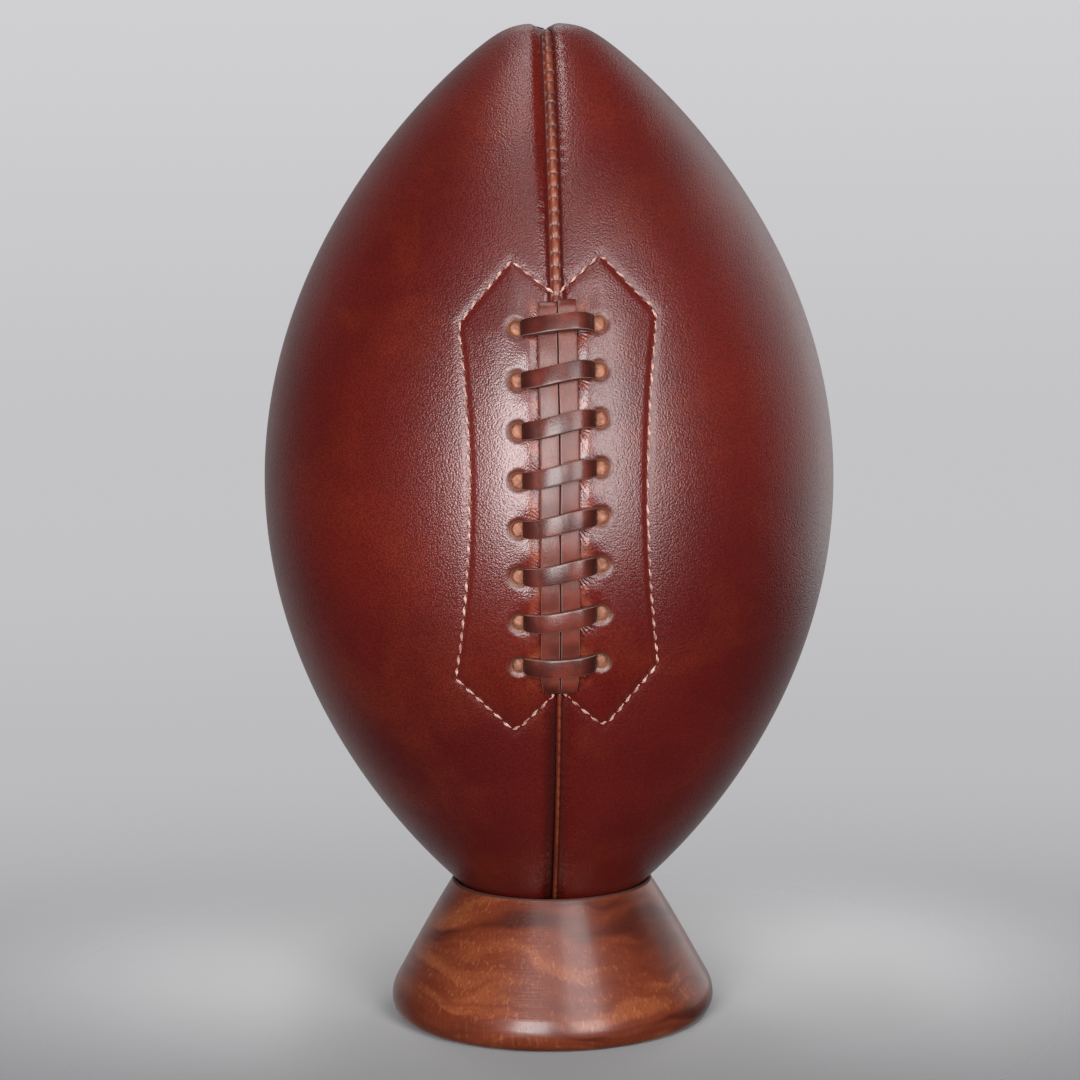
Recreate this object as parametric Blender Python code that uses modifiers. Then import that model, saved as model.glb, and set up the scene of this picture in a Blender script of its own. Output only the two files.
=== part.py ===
"""A laced leather rugby ball, standing on its end in a turned wooden stand.

The ball is four leather panels sewn edge to edge over narrow welts. Two facings back the lace
holes, a tongue lies under the lacing, and one flat lace winds over two uprights to close the slit
through which the rubber bladder, with its tied neck, goes in.

Metres, +Z up. The origin is the centre of the stand's foot, and the laced seam faces -Y. The ball's
pieces are modelled about the ball's centre and hang from one empty, which lifts along Z.
"""

import math

import bmesh
import bpy
import numpy as np
from mathutils import Matrix, Vector

# Sizes of the ball's outline
BALL_LENGTH = 0.3025
BALL_DIAMETER = 0.190
POINT_LENGTH = 0.3165  # where the flanks would meet if the ends were not blunt
FLANK_POWER = 0.82  # 0.5 is an ellipse; more is leaner towards the ends
END_ROUNDING = 0.002

# Sizes of the leather, the rubber and the gap between pieces that touch
LEATHER = 0.0022
RUBBER = 0.0009
CLEAR = 0.0003

# Sizes of a seam: two panel edges turned in against a welt
WELT_THICKNESS = 0.0023
WELT_SET = 0.0012  # the welt's outer edge below the panels' skin
SEAM_BEND = 0.0026
SEAM_DEPTH = 0.0056
SEAM_THREAD = 0.0010
PILLOW_DEPTH = 0.0007  # how far the seams draw the skin in
PILLOW_REACH = 0.010
TIP_RADIUS = 0.0036  # where the panels' points stop round the ball's axis

# Sizes of the lacing, along and across the front seam
LACE_CENTRE = 0.0049  # above the ball's widest ring
LACE_ROWS = 8
LACE_PITCH = 0.01485
LACE_RISE = 0.0037  # a bar's right end above its left one, at mid length
LACE_WIDTH = 0.0058
LACE_THICKNESS = 0.0018
LACE_PINCH = 0.85  # share of the width that is left inside a hole
HOLE_OFFSET = 0.0125
HOLE_RADIUS = 0.0033
TUCK_OFFSET = 0.0590  # from the lacing's middle to the cross cuts that take the uprights' ends
TUCK_CLEAR = 0.0005

# Sizes of the facings behind the lace holes, to their line of stitches
FACING_THICKNESS = 0.0016
FACING_NOTCH = 0.0617  # height of the notch at the seam
FACING_PEAK = 0.0720
FACING_PEAK_OFFSET = 0.0138
FACING_SHOULDER = 0.0545
FACING_SHOULDER_OFFSET = 0.0312
FACING_WAIST_OFFSET = 0.0274
FACING_MARGIN = 0.0030
FACING_THREAD = 0.0010

# Sizes of the tongue under the lacing, and of the bladder's neck and its tie
TONGUE_THICKNESS = 0.0015
TONGUE_OVERLAP = 0.0050  # past the lace holes on every side
NECK_DIAMETER = 0.0048
NECK_BORE = 0.0028
NECK_BEND = 0.0035
NECK_RUN = 0.0400
NECK_ROOT = -0.0180  # from the lacing's middle
NECK_PINCH = 0.5
TIE_PLACE = 0.0270  # along the run, to the middle of the tie
TIE_CORD = 0.0008
TIE_TURNS = 3

# Sizes of the stand
STAND_HEIGHT = 0.0450
STAND_FOOT_RADIUS = 0.0503
STAND_BEAD_RADIUS = 0.0547
STAND_BEAD_HEIGHT = 0.0054
STAND_ROUNDING = 0.0090  # of the foot above its widest ring
STAND_CONE_ANGLE = 29.0  # degrees that the cone leans in from upright
STAND_RIM = 0.0038  # width of the flat rim round the seat
STAND_RIM_EDGE = 0.0006
SEAT_RADIUS = 0.0310  # the ball's radius where the rim holds it
SEAT_RELIEF = 0.0015  # extra room under the ball's end

# How finely the round shapes are stepped
PANEL_STEPS = 9
FLANK_ROWS = 7
SLIT_ROWS = 7
BLADDER_RINGS = 14
STAND_STEPS = 40

# What follows from the sizes above
BALL_RADIUS = BALL_DIAMETER / 2
SEAM_GAP = WELT_THICKNESS / 2 + CLEAR  # from a seam's plane to a turned-in edge
QUARTER = math.pi / 2
FRONT, RIGHT, REAR, LEFT = -QUARTER, 0.0, QUARTER, 2 * QUARTER
FACET_SAG = BALL_RADIUS * (1 - math.cos(QUARTER / PANEL_STEPS / 2)) + CLEAR
FACING_DEPTH = LEATHER + CLEAR + FACET_SAG
LACE_DEPTH = FACING_DEPTH + FACING_THICKNESS + CLEAR + LACE_THICKNESS / 2
TONGUE_DEPTH = LACE_DEPTH + LACE_THICKNESS / 2 + CLEAR
SLIT_DEPTH = FACING_DEPTH + FACING_THICKNESS - CLEAR
TUCK_HALF = LACE_THICKNESS / 2 + TUCK_CLEAR
SLIT_END = TUCK_OFFSET + TUCK_HALF
NECK_DEPTH = TONGUE_DEPTH + TONGUE_THICKNESS + CLEAR + NECK_DIAMETER / 2
DENT_DEPTH = NECK_DEPTH + NECK_BEND + NECK_DIAMETER / 2
RIDGE_DEPTH = SEAM_DEPTH + CLEAR + SEAM_THREAD + CLEAR
TIE_PITCH = TIE_CORD + 2 * CLEAR
TIE_HALF = TIE_TURNS * TIE_PITCH / 2 + TIE_CORD


# The ball's outline and the places on it


def meridian(t):
    """Radius and height of the outline at t, which runs from -1 at the lower end to 1 at the upper."""
    radius = BALL_RADIUS * max(0.0, 1 - t * t) ** FLANK_POWER
    pointed = POINT_LENGTH / 2 * abs(t)
    over = (pointed - BALL_LENGTH / 2) / END_ROUNDING
    height = pointed - END_ROUNDING * math.log1p(math.exp(over))
    return radius, math.copysign(height, t)


def station_at_radius(radius):
    """The upper t at which the outline has this radius."""
    return math.sqrt(1 - (radius / BALL_RADIUS) ** (1 / FLANK_POWER))


def station_at_height(height):
    """The t of a height on the flanks, where the blunt ends don't reach."""
    return height / (POINT_LENGTH / 2)


def outward(t):
    """The outline's outward direction at t, as its parts across and up."""
    step = 1e-4
    low, high = meridian(max(t - step, -1)), meridian(min(t + step, 1))
    along = Vector((high[0] - low[0], high[1] - low[1])).normalized()
    return along.y, -along.x


def below_skin(t, depth):
    """Radius and height of the point this deep under the outline, square to it."""
    radius, height = meridian(t)
    across, up = outward(t)
    return radius - depth * across, height - depth * up


def skin(t, azimuth, depth=0.0):
    """The point this deep under the outline, at this turn round the axis."""
    radius, height = below_skin(t, depth)
    return Vector((radius * math.cos(azimuth), radius * math.sin(azimuth), height))


def pillow(distance):
    """How far the skin is drawn in at this distance from a seam's plane."""
    return PILLOW_DEPTH * math.exp(-max(distance - SEAM_GAP, 0) / PILLOW_REACH)


def beside_seam(t, seam, distance, depth=0.0):
    """The point this far from a seam's plane and this deep under the drawn-in skin."""
    radius, height = below_skin(t, depth + pillow(abs(distance)))
    along = math.sqrt(radius**2 - distance**2)
    out = Vector((math.cos(seam), math.sin(seam), 0))
    return out * along + Vector((-out.y, out.x, 0)) * distance + Vector((0, 0, height))


def on_lacing(offset, height, depth=0.0):
    """The point this far to the right of the front seam and above the lacing's middle."""
    return beside_seam(station_at_height(LACE_CENTRE + height), FRONT, offset, depth)


def stations():
    """The rows of a panel: steps up the lower flank, along the slit and up the upper flank."""
    tip = math.asin(station_at_radius(TIP_RADIUS))
    low = math.asin(station_at_height(LACE_CENTRE - SLIT_END))
    high = math.asin(station_at_height(LACE_CENTRE + SLIT_END))
    rows = [-tip + (low + tip) * i / FLANK_ROWS for i in range(FLANK_ROWS)]
    rows += [low + (high - low) * i / SLIT_ROWS for i in range(SLIT_ROWS)]
    rows += [high + (tip - high) * i / FLANK_ROWS for i in range(FLANK_ROWS + 1)]
    return [math.sin(row) for row in rows]


def in_slit(t):
    return abs(POINT_LENGTH / 2 * t - LACE_CENTRE) < SLIT_END + CLEAR


# Blender helpers


def clear_scene():
    for obj in list(bpy.data.objects):
        bpy.data.objects.remove(obj)


def new_collection(name, hidden=False):
    collection = bpy.data.collections.new(name)
    collection.hide_render = hidden
    bpy.context.scene.collection.children.link(collection)
    return collection


def new_material(name, colour, roughness, metallic=0.0):
    material = bpy.data.materials.new(name)
    material.use_nodes = True
    shader = material.node_tree.nodes["Principled BSDF"]
    shader.inputs["Base Color"].default_value = (*colour, 1.0)
    shader.inputs["Roughness"].default_value = roughness
    shader.inputs["Metallic"].default_value = metallic
    return material


def new_object(name, data, material, collection, parent=None):
    obj = bpy.data.objects.new(name, data)
    obj.parent = parent
    if material:
        data.materials.append(material)
    collection.objects.link(obj)
    return obj


def mesh_from(bm, name, smooth=True):
    mesh = bpy.data.meshes.new(name)
    bm.to_mesh(mesh)
    bm.free()
    if smooth:
        mesh.shade_smooth()
    return mesh


def mapped_grid(name, columns, rows, place):
    """A grid whose corner (column, row) is moved to place(column, row)."""
    bm = bmesh.new()
    bmesh.ops.create_grid(bm, x_segments=columns, y_segments=rows, size=1)
    for vert in bm.verts:
        column = round((vert.co.x + 1) / 2 * columns)
        row = round((vert.co.y + 1) / 2 * rows)
        vert.co = place(column, row)
    return mesh_from(bm, name)


def solidify(obj, thickness, group=None):
    modifier = obj.modifiers.new("thickness", "SOLIDIFY")
    modifier.thickness = thickness
    modifier.offset = -1
    modifier.use_even_offset = True
    modifier.use_quality_normals = True
    if group:
        modifier.vertex_group = group
    return modifier


def cut(obj, cutter):
    modifier = obj.modifiers.new(cutter.name, "BOOLEAN")
    modifier.operation = "DIFFERENCE"
    modifier.object = cutter


def new_cutter(name, bm, collection, parent):
    cutter = new_object(name, mesh_from(bm, name), None, collection, parent)
    cutter.hide_render = True
    cutter.display_type = "WIRE"
    return cutter


def facing_along(point, direction):
    """The placing of a tool whose own Z looks along a direction and whose Y looks up."""
    turn = direction.to_track_quat("Z", "Y").to_matrix().to_4x4()
    return Matrix.Translation(point) @ turn


def round_cutter(name, places, radius, length, collection, parent):
    """One cutter of round rods, each centred on a point and along a direction."""
    bm = bmesh.new()
    for point, direction in places:
        bmesh.ops.create_cone(
            bm,
            cap_ends=True,
            segments=12,
            radius1=radius,
            radius2=radius,
            depth=length,
            matrix=facing_along(point, direction),
        )
    return new_cutter(name, bm, collection, parent)


def slot_cutter(name, places, size, collection, parent):
    """One cutter of square bars, each centred on a point and along a direction."""
    bm = bmesh.new()
    for point, direction in places:
        place = facing_along(point, direction) @ Matrix.Diagonal((*size, 1))
        bmesh.ops.create_cube(bm, size=1, matrix=place)
    return new_cutter(name, bm, collection, parent)


def tube(name, points, radius, material, collection, parent, sides=4, radii=None):
    """A round cord through the points, as a bevelled curve with closed ends."""
    curve = bpy.data.curves.new(name, "CURVE")
    curve.dimensions = "3D"
    curve.bevel_depth = radius
    curve.bevel_resolution = (sides - 4) // 2
    curve.use_fill_caps = True
    spline = curve.splines.new("POLY")
    spline.points.add(len(points) - 1)
    for i, point in enumerate(points):
        spline.points[i].co = (*point, 1)
        spline.points[i].radius = radii[i] if radii else 1.0
    return new_object(name, curve, material, collection, parent)


def as_mesh(obj, material, collection):
    """Replaces a curve by its mesh with the caps welded on, so that a Boolean can use it."""
    bpy.context.view_layer.update()
    graph = bpy.context.evaluated_depsgraph_get()
    mesh = bpy.data.meshes.new_from_object(obj.evaluated_get(graph))
    bm = bmesh.new()
    bm.from_mesh(mesh)
    bmesh.ops.remove_doubles(bm, verts=bm.verts, dist=CLEAR / 100)
    bm.to_mesh(mesh)
    bm.free()
    mesh.shade_smooth()
    name, parent = obj.name, obj.parent
    bpy.data.objects.remove(obj)
    return new_object(name, mesh, material, collection, parent)


def strap_rings(path, widths):
    """The outlines of a flat lace along a path, each with its corners taken off."""
    half, corner = LACE_THICKNESS / 2, LACE_THICKNESS / 3
    rings = []
    for i, (side, width) in enumerate(widths):
        along = (path[min(i + 1, len(path) - 1)] - path[max(i - 1, 0)]).normalized()
        wide = (side - along * side.dot(along)).normalized()
        thick = along.cross(wide)
        section = [(width / 2, half - corner), (width / 2 - corner, half)]
        section += [(-w, h) for w, h in reversed(section)]
        section += [(-w, -h) for w, h in section]
        rings.append([path[i] + wide * w + thick * h for w, h in section])
    return rings


def loft(name, rings, material, collection, parent):
    """One solid through a row of outlines, closed at both ends."""
    bm = bmesh.new()
    loops = [[bm.verts.new(point) for point in ring] for ring in rings]
    for low, high in zip(loops, loops[1:]):
        for i in range(len(low)):
            j = (i + 1) % len(low)
            bm.faces.new((low[i], low[j], high[j], high[i]))
    bm.faces.new(loops[0])
    bm.faces.new(loops[-1])
    bmesh.ops.recalc_face_normals(bm, faces=bm.faces)
    return new_object(name, mesh_from(bm, name), material, collection, parent)


def least_gap(rings, apart):
    """The least distance between the outlines of a winding's rings that lie this far apart along it."""
    points = np.array(rings)
    steps = np.linalg.norm(np.diff(points.mean(axis=1), axis=0), axis=1)
    travelled = np.concatenate([[0], np.cumsum(steps)])
    least = math.inf
    for ring, place in zip(points, travelled):
        others = points[travelled < place - apart].reshape(-1, 3)
        if len(others):
            apart_by = np.linalg.norm(ring[:, None] - others[None], axis=2)
            least = min(least, apart_by.min())
    return least


# Panels, welts and seam threads


def panel_point(column, t, seam, slit_first, slit_last):
    """A corner of the panel that runs from a seam through a quarter turn to the next."""
    radius = meridian(t)[0]
    room = radius * math.sin(QUARTER / 2) - SEAM_GAP
    bend = min(SEAM_BEND, 0.6 * room)
    start = math.asin((SEAM_GAP + bend) / radius)
    last = PANEL_STEPS + 6
    edge = min(column, last - column)
    if edge > 3:
        angle = start + (QUARTER - 2 * start) * (column - 3) / PANEL_STEPS
        distance = radius * math.sin(min(angle, QUARTER - angle))
        return skin(t, seam + angle, pillow(distance))
    on_first = column < last / 2
    side, plane = (1, seam) if on_first else (-1, seam + QUARTER)
    has_slit = slit_first if on_first else slit_last
    depth = SLIT_DEPTH if has_slit and in_slit(t) else SEAM_DEPTH
    turn = math.radians((90, 90, 45, 0)[edge])
    drop = depth if edge == 0 else bend * (1 - math.cos(turn))
    distance = SEAM_GAP + bend * (1 - math.sin(turn))
    reach, height = below_skin(t, drop + pillow(SEAM_GAP + bend))
    reach -= radius * (1 - math.cos(start))
    along = Vector((math.cos(plane), math.sin(plane), 0))
    away = Vector((-along.y, along.x, 0)) * side
    return along * reach + away * distance + Vector((0, 0, height))


def skive_weight(t):
    """The leather is pared thin towards the panels' points, where the edges come together."""
    room = meridian(t)[0] * math.sin(QUARTER / 2) - SEAM_GAP
    return min(1.0, room / (2.5 * LEATHER))


def make_panel(name, seam, material, collection, parent, slit_first=False, slit_last=False):
    rows = stations()
    columns = PANEL_STEPS + 6
    mesh = mapped_grid(
        name,
        columns,
        len(rows) - 1,
        lambda column, row: panel_point(column, rows[row], seam, slit_first, slit_last),
    )
    panel = new_object(name, mesh, material, collection, parent)
    skive = panel.vertex_groups.new(name="skive")
    for i in range(len(mesh.vertices)):
        skive.add([i], skive_weight(rows[i // (columns + 1)]), "REPLACE")
    solidify(panel, LEATHER, "skive")
    return panel


def seam_line(first, last, depth):
    """Points of a seam's own plane, this deep under the skin, as radius and height."""
    inner = [t for t in stations() if first < t < last]
    return [below_skin(t, depth + pillow(0)) for t in [first, *inner, last]]


def make_welt(name, seam, first, last, material, collection, parent):
    """A flat crescent of leather that stands on edge between two panels."""
    outline = seam_line(first, last, WELT_SET)
    outline += reversed(seam_line(first, last, SEAM_DEPTH))
    curve = bpy.data.curves.new(name, "CURVE")
    curve.dimensions = "2D"
    curve.fill_mode = "BOTH"
    curve.extrude = WELT_THICKNESS / 2
    spline = curve.splines.new("POLY")
    spline.points.add(len(outline) - 1)
    for point, (radius, height) in zip(spline.points, outline):
        point.co = (radius, height, 0, 1)
    spline.use_cyclic_u = True
    welt = new_object(name, curve, material, collection, parent)
    welt.rotation_euler = (QUARTER, 0, seam)
    return welt


def make_seam_thread(name, seam, first, last, material, collection, parent):
    depth = SEAM_DEPTH + CLEAR + SEAM_THREAD / 2
    line = seam_line(first, last, depth)
    points = [(r * math.cos(seam), r * math.sin(seam), z) for r, z in line]
    return tube(name, points, SEAM_THREAD / 2, material, collection, parent)


# The facings, their stitches and the tongue


def facing_top(offset, margin=0.0):
    """Height of a facing's upper edge, from its notch over its peak to its shoulder."""
    if offset < FACING_PEAK_OFFSET:
        share = offset / FACING_PEAK_OFFSET
        return FACING_NOTCH + (FACING_PEAK - FACING_NOTCH) * share + margin
    share = (offset - FACING_PEAK_OFFSET) / (FACING_SHOULDER_OFFSET - FACING_PEAK_OFFSET)
    return FACING_PEAK + (FACING_SHOULDER - FACING_PEAK) * share + margin


def facing_side(share):
    """Offset of a facing's long side, which draws in to a waist halfway up."""
    draw = FACING_SHOULDER_OFFSET - FACING_WAIST_OFFSET
    return FACING_SHOULDER_OFFSET - draw * (1 - (2 * share - 1) ** 2)


def make_facing(name, side, material, collection, parent):
    columns, rows = 6, 11
    inner = SEAM_GAP + LEATHER + 2 * CLEAR

    def place(column, row):
        u, v = column / columns, row / rows
        u = u if side > 0 else 1 - u
        outer = facing_side(v) + FACING_MARGIN
        offset = inner + (outer - inner) * u
        top = facing_top(min(offset, FACING_SHOULDER_OFFSET), FACING_MARGIN)
        return on_lacing(side * offset, top * (2 * v - 1), FACING_DEPTH)

    mesh = mapped_grid(name, columns, rows, place)
    facing = new_object(name, mesh, material, collection, parent)
    solidify(facing, FACING_THICKNESS)
    return facing


def make_facing_thread(name, side, material, collection, parent):
    """The line of stitches round a facing, on the panel's skin from notch to notch."""
    start = SEAM_GAP + SEAM_BEND + FACING_THREAD
    steps = 5
    rise = [start + (FACING_PEAK_OFFSET - start) * i / steps for i in range(steps)]
    fall = FACING_SHOULDER_OFFSET - FACING_PEAK_OFFSET
    rise += [FACING_PEAK_OFFSET + fall * i / steps for i in range(steps)]
    upper = [(offset, facing_top(offset)) for offset in rise]
    long_side = [i / 14 for i in range(15)]
    line = upper + [(facing_side(s), FACING_SHOULDER * (1 - 2 * s)) for s in long_side]
    line += [(offset, -height) for offset, height in reversed(upper)]
    above = -(CLEAR + FACING_THREAD / 2)
    points = [on_lacing(side * offset, height, above) for offset, height in line]
    return tube(name, points, FACING_THREAD / 2, material, collection, parent)


def make_tongue(material, collection, parent):
    columns, rows = 6, 10
    half_width = HOLE_OFFSET + HOLE_RADIUS + TONGUE_OVERLAP
    half_height = LACE_PITCH * (LACE_ROWS - 1) / 2 + TONGUE_OVERLAP

    def place(column, row):
        offset = half_width * (2 * column / columns - 1)
        return on_lacing(offset, half_height * (2 * row / rows - 1), TONGUE_DEPTH)

    mesh = mapped_grid("lace_tongue", columns, rows, place)
    tongue = new_object("lace_tongue", mesh, material, collection, parent)
    solidify(tongue, TONGUE_THICKNESS)
    return tongue


# The lace


def hole_heights(row):
    """Heights of a row's left and right holes from the lacing's middle, the first row uppermost."""
    middle = LACE_PITCH * ((LACE_ROWS - 1) / 2 - row)
    from_middle = abs(2 * row - (LACE_ROWS - 1)) / LACE_ROWS
    rise = LACE_RISE * (1 - from_middle**3)
    return middle - rise / 2, middle + rise / 2


def hole_places(side):
    """Centre and direction of each lace hole on one side of the slit."""
    places = []
    for row in range(LACE_ROWS):
        height = hole_heights(row)[0 if side < 0 else 1]
        outer, inner = (on_lacing(side * HOLE_OFFSET, height, d) for d in (0, LACE_DEPTH))
        places.append(((outer + inner) / 2, outer - inner))
    return places


def tuck_places():
    """Centre and direction of the cross cuts at the slit's ends."""
    places = []
    for height in (-TUCK_OFFSET, TUCK_OFFSET):
        outer, inner = (on_lacing(0, height, depth) for depth in (0, LACE_DEPTH))
        places.append(((outer + inner) / 2, outer - inner))
    return places


def bar_section():
    """A bar's run from the slit out to its hole and in behind it, as offset, depth and width."""
    top = -(CLEAR + LACE_THICKNESS + CLEAR + LACE_THICKNESS / 2)
    edge = LACE_WIDTH + CLEAR
    bottom = LACE_DEPTH - LACE_THICKNESS
    run = [(0.0, top, 1.0), (edge / 2, top, 1.0)]
    for i in range(5):
        turn = QUARTER * i / 4
        offset = edge + (HOLE_OFFSET - edge) * math.sin(turn)
        depth = top + (CLEAR - top) * (1 - math.cos(turn))
        run.append((offset, depth, 1 - (1 - LACE_PINCH) * (i / 4) ** 2))
    run.append((HOLE_OFFSET, bottom, LACE_PINCH))
    slant = math.sin(QUARTER / 2)
    run.append((HOLE_OFFSET - LACE_THICKNESS * (1 - slant), bottom + LACE_THICKNESS * slant, 0.9))
    back = HOLE_OFFSET - LACE_THICKNESS
    run += [(back * share, LACE_DEPTH, 1.0) for share in (1, 0.75, 0.45, 0.15)]
    return run


def smooth(share):
    return share * share * (3 - 2 * share)


def make_cross_lace(material, collection, parent):
    """One lace that winds down the slit: over the uprights, through a hole, behind, and on."""
    half = bar_section()
    path, widths = [], []

    def add(offset, height, depth, width):
        path.append(on_lacing(offset, height, depth))
        up = on_lacing(offset, height + CLEAR, depth) - on_lacing(offset, height - CLEAR, depth)
        widths.append((up.normalized(), LACE_WIDTH * width))

    back = HOLE_OFFSET - LACE_THICKNESS
    for row in range(LACE_ROWS):
        left, right = hole_heights(row)
        before = hole_heights(row - 1)[1] if row > 0 else left
        after = hole_heights(row + 1)[0] if row < LACE_ROWS - 1 else right
        for offset, depth, width in reversed(half[1:]):
            low, high, reach = (left, before, back) if depth == LACE_DEPTH else (left, right, HOLE_OFFSET)
            add(-offset, low + (high - low) * smooth((1 - offset / reach) / 2), depth, width)
        for offset, depth, width in half:
            low, high, reach = (after, right, back) if depth == LACE_DEPTH else (left, right, HOLE_OFFSET)
            add(offset, low + (high - low) * smooth((1 + offset / reach) / 2), depth, width)
    rings = strap_rings(path, widths)
    gap = least_gap(rings, 3 * LACE_WIDTH)
    print(f"cross_lace: least gap between turns {gap * 1000:.2f} mm")
    return loft("cross_lace", rings, material, collection, parent)


def make_upright(name, side, material, collection, parent):
    """A lace end laid along the slit under the bars, with both its ends tucked inside."""
    rest = -(CLEAR + LACE_THICKNESS / 2)
    offset = side * (LACE_WIDTH + CLEAR) / 2
    shoulder = TUCK_OFFSET - LACE_THICKNESS
    steps, turns = 8, 4
    half = [(shoulder * i / steps, rest) for i in range(steps + 1)]
    for i in range(1, turns + 1):
        turn = QUARTER * i / turns
        height = shoulder + LACE_THICKNESS * math.sin(turn)
        half.append((height, rest + LACE_THICKNESS * (1 - math.cos(turn))))
    half.append((TUCK_OFFSET, SLIT_DEPTH + CLEAR))
    run = [(-height, depth) for height, depth in reversed(half[1:])] + half
    path = [on_lacing(offset, height, depth) for height, depth in run]
    widths = [(Vector((1, 0, 0)), LACE_WIDTH)] * len(run)
    return loft(name, strap_rings(path, widths), material, collection, parent)


# The bladder, its neck and the tie


def bladder_depth(t, azimuth):
    """Depth of the bladder's skin: close to the panels, clear of the seams and of the lacing."""
    radius, height = meridian(t)
    base = FACING_DEPTH
    from_seam = abs((azimuth + QUARTER / 2) % QUARTER - QUARTER / 2)
    distance = radius * math.sin(from_seam)
    ridge_half = SEAM_GAP + LEATHER + CLEAR + FACET_SAG
    ridge = smooth(min(max(2 - distance / ridge_half, 0), 1))
    depth = base + (max(RIDGE_DEPTH + FACET_SAG, base) - base) * ridge
    across = radius * abs(math.sin(azimuth - FRONT)) if math.sin(azimuth) < 0 else BALL_RADIUS
    reach_across = HOLE_OFFSET + HOLE_RADIUS + TONGUE_OVERLAP
    reach_up = FACING_PEAK + FACING_MARGIN
    aside = max(across / reach_across - 1, (abs(height - LACE_CENTRE) - reach_up) / reach_across, 0)
    dent = smooth(min(max(1 - aside, 0), 1))
    return max(depth, base + (DENT_DEPTH + FACET_SAG - base) * dent)


def bladder_azimuths():
    """Steps round the bladder, close together at each seam so that it can dip there."""
    steps = [math.radians(angle) for angle in (0, 2.6, 6, 18, 36, 54, 72, 84, 87.4)]
    return [quarter * QUARTER + step for quarter in range(4) for step in steps]


def make_bladder(material, collection, parent):
    azimuths = bladder_azimuths()
    bm = bmesh.new()
    bmesh.ops.create_uvsphere(
        bm, u_segments=len(azimuths), v_segments=BLADDER_RINGS, radius=1
    )
    for vert in bm.verts:
        polar = round(math.asin(max(-1, min(1, vert.co.z))) / (math.pi / BLADDER_RINGS))
        t = math.sin(math.pi * polar / BLADDER_RINGS)
        step = round(math.atan2(vert.co.y, vert.co.x) / (2 * math.pi) * len(azimuths))
        azimuth = azimuths[step % len(azimuths)]
        vert.co = skin(t, azimuth, bladder_depth(t, azimuth))
    bladder = new_object("bladder", mesh_from(bm, "bladder"), material, collection, parent)
    solidify(bladder, RUBBER)
    return bladder


def neck_run():
    """The neck's line and thickness: out of the bladder, up at once, and along behind the tongue."""
    run = [(NECK_ROOT - NECK_BEND, NECK_DEPTH + NECK_BEND + NECK_DIAMETER / 2 - CLEAR, 1.0)]
    for i in range(5):
        turn = QUARTER * i / 4
        height = NECK_ROOT - NECK_BEND * math.cos(turn)
        run.append((height, NECK_DEPTH + NECK_BEND * (1 - math.sin(turn)), 1.0))
    for along, share in (
        ((TIE_PLACE - TIE_HALF) / 2, 1.0),
        (TIE_PLACE - TIE_HALF - NECK_DIAMETER / 2, 1.0),
        (TIE_PLACE - TIE_HALF, NECK_PINCH),
        (TIE_PLACE + TIE_HALF, NECK_PINCH),
        (TIE_PLACE + TIE_HALF + NECK_DIAMETER / 2, 1.0),
        (NECK_RUN, 1.0),
    ):
        run.append((NECK_ROOT + along, NECK_DEPTH, share))
    path = [on_lacing(0, height, depth) for height, depth, share in run]
    return path, [share for height, depth, share in run]


def make_neck(material, collection, cutters, parent):
    path, shares = neck_run()
    radius = NECK_DIAMETER / 2
    neck = tube("bladder_neck", path, radius, None, collection, parent, 8, shares)
    neck = as_mesh(neck, material, collection)
    through = [path[0] * 2 - path[1], *path[1:-1], path[-1] * 2 - path[-2]]
    bore = tube("neck_bore", through, NECK_BORE / 2, None, cutters, parent, 6, shares)
    bore = as_mesh(bore, None, cutters)
    bore.hide_render = True
    bore.display_type = "WIRE"
    cut(neck, bore)
    return neck


def make_tie(material, collection, parent):
    """A cord wound round the neck's pinch."""
    middle = NECK_ROOT + TIE_PLACE
    low, high = (on_lacing(0, middle + end * TIE_HALF, NECK_DEPTH) for end in (-1, 1))
    along = (high - low).normalized()
    across = Vector((1, 0, 0))
    out = across.cross(along)
    ring = NECK_DIAMETER / 2 * NECK_PINCH + CLEAR + TIE_CORD / 2
    steps = 12
    points = []
    for i in range(TIE_TURNS * steps + 1):
        turn = 2 * math.pi * i / steps
        climb = TIE_PITCH * (i / steps - TIE_TURNS / 2)
        spoke = across * math.cos(turn) + out * math.sin(turn)
        points.append((low + high) / 2 + spoke * ring + along * climb)
    gap = least_gap([[point] for point in points], 3 * ring) - TIE_CORD
    print(f"neck_tie: least gap between turns {gap * 1000:.2f} mm")
    return tube("neck_tie", points, TIE_CORD / 2, material, collection, parent)


# The stand


def ball_height():
    """Height of the ball's centre when the stand's rim holds it at the seat's radius."""
    return STAND_HEIGHT + meridian(station_at_radius(SEAT_RADIUS))[1]


def stand_profile():
    """The turned outline from the seat's middle over the rim and down the cone to the foot."""
    centre = ball_height()
    low = -station_at_radius(SEAT_RADIUS)
    profile = []
    steps = 6
    for i in range(steps + 1):
        t = -1 + (low + 1) * (i / steps) ** 2
        radius, height = meridian(t)
        across, up = outward(t)
        away = 2 * CLEAR + SEAT_RELIEF * (1 - radius / SEAT_RADIUS)
        profile.append((max(radius + away * across, 0) if i else 0, centre + height + away * up))
    rim = SEAT_RADIUS + STAND_RIM
    profile.append((rim - STAND_RIM_EDGE, STAND_HEIGHT))
    profile.append((rim, STAND_HEIGHT - STAND_RIM_EDGE))
    for angle in (STAND_CONE_ANGLE, STAND_CONE_ANGLE / 2, 0, -25, -55, -90):
        turn = math.radians(angle)
        wide = STAND_ROUNDING if angle > 0 else STAND_BEAD_RADIUS - STAND_FOOT_RADIUS
        tall = STAND_ROUNDING if angle > 0 else STAND_BEAD_HEIGHT
        radius = STAND_BEAD_RADIUS - wide * (1 - math.cos(turn))
        profile.append((radius, STAND_BEAD_HEIGHT + tall * math.sin(turn)))
    profile.append((0, 0))
    return profile


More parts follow.
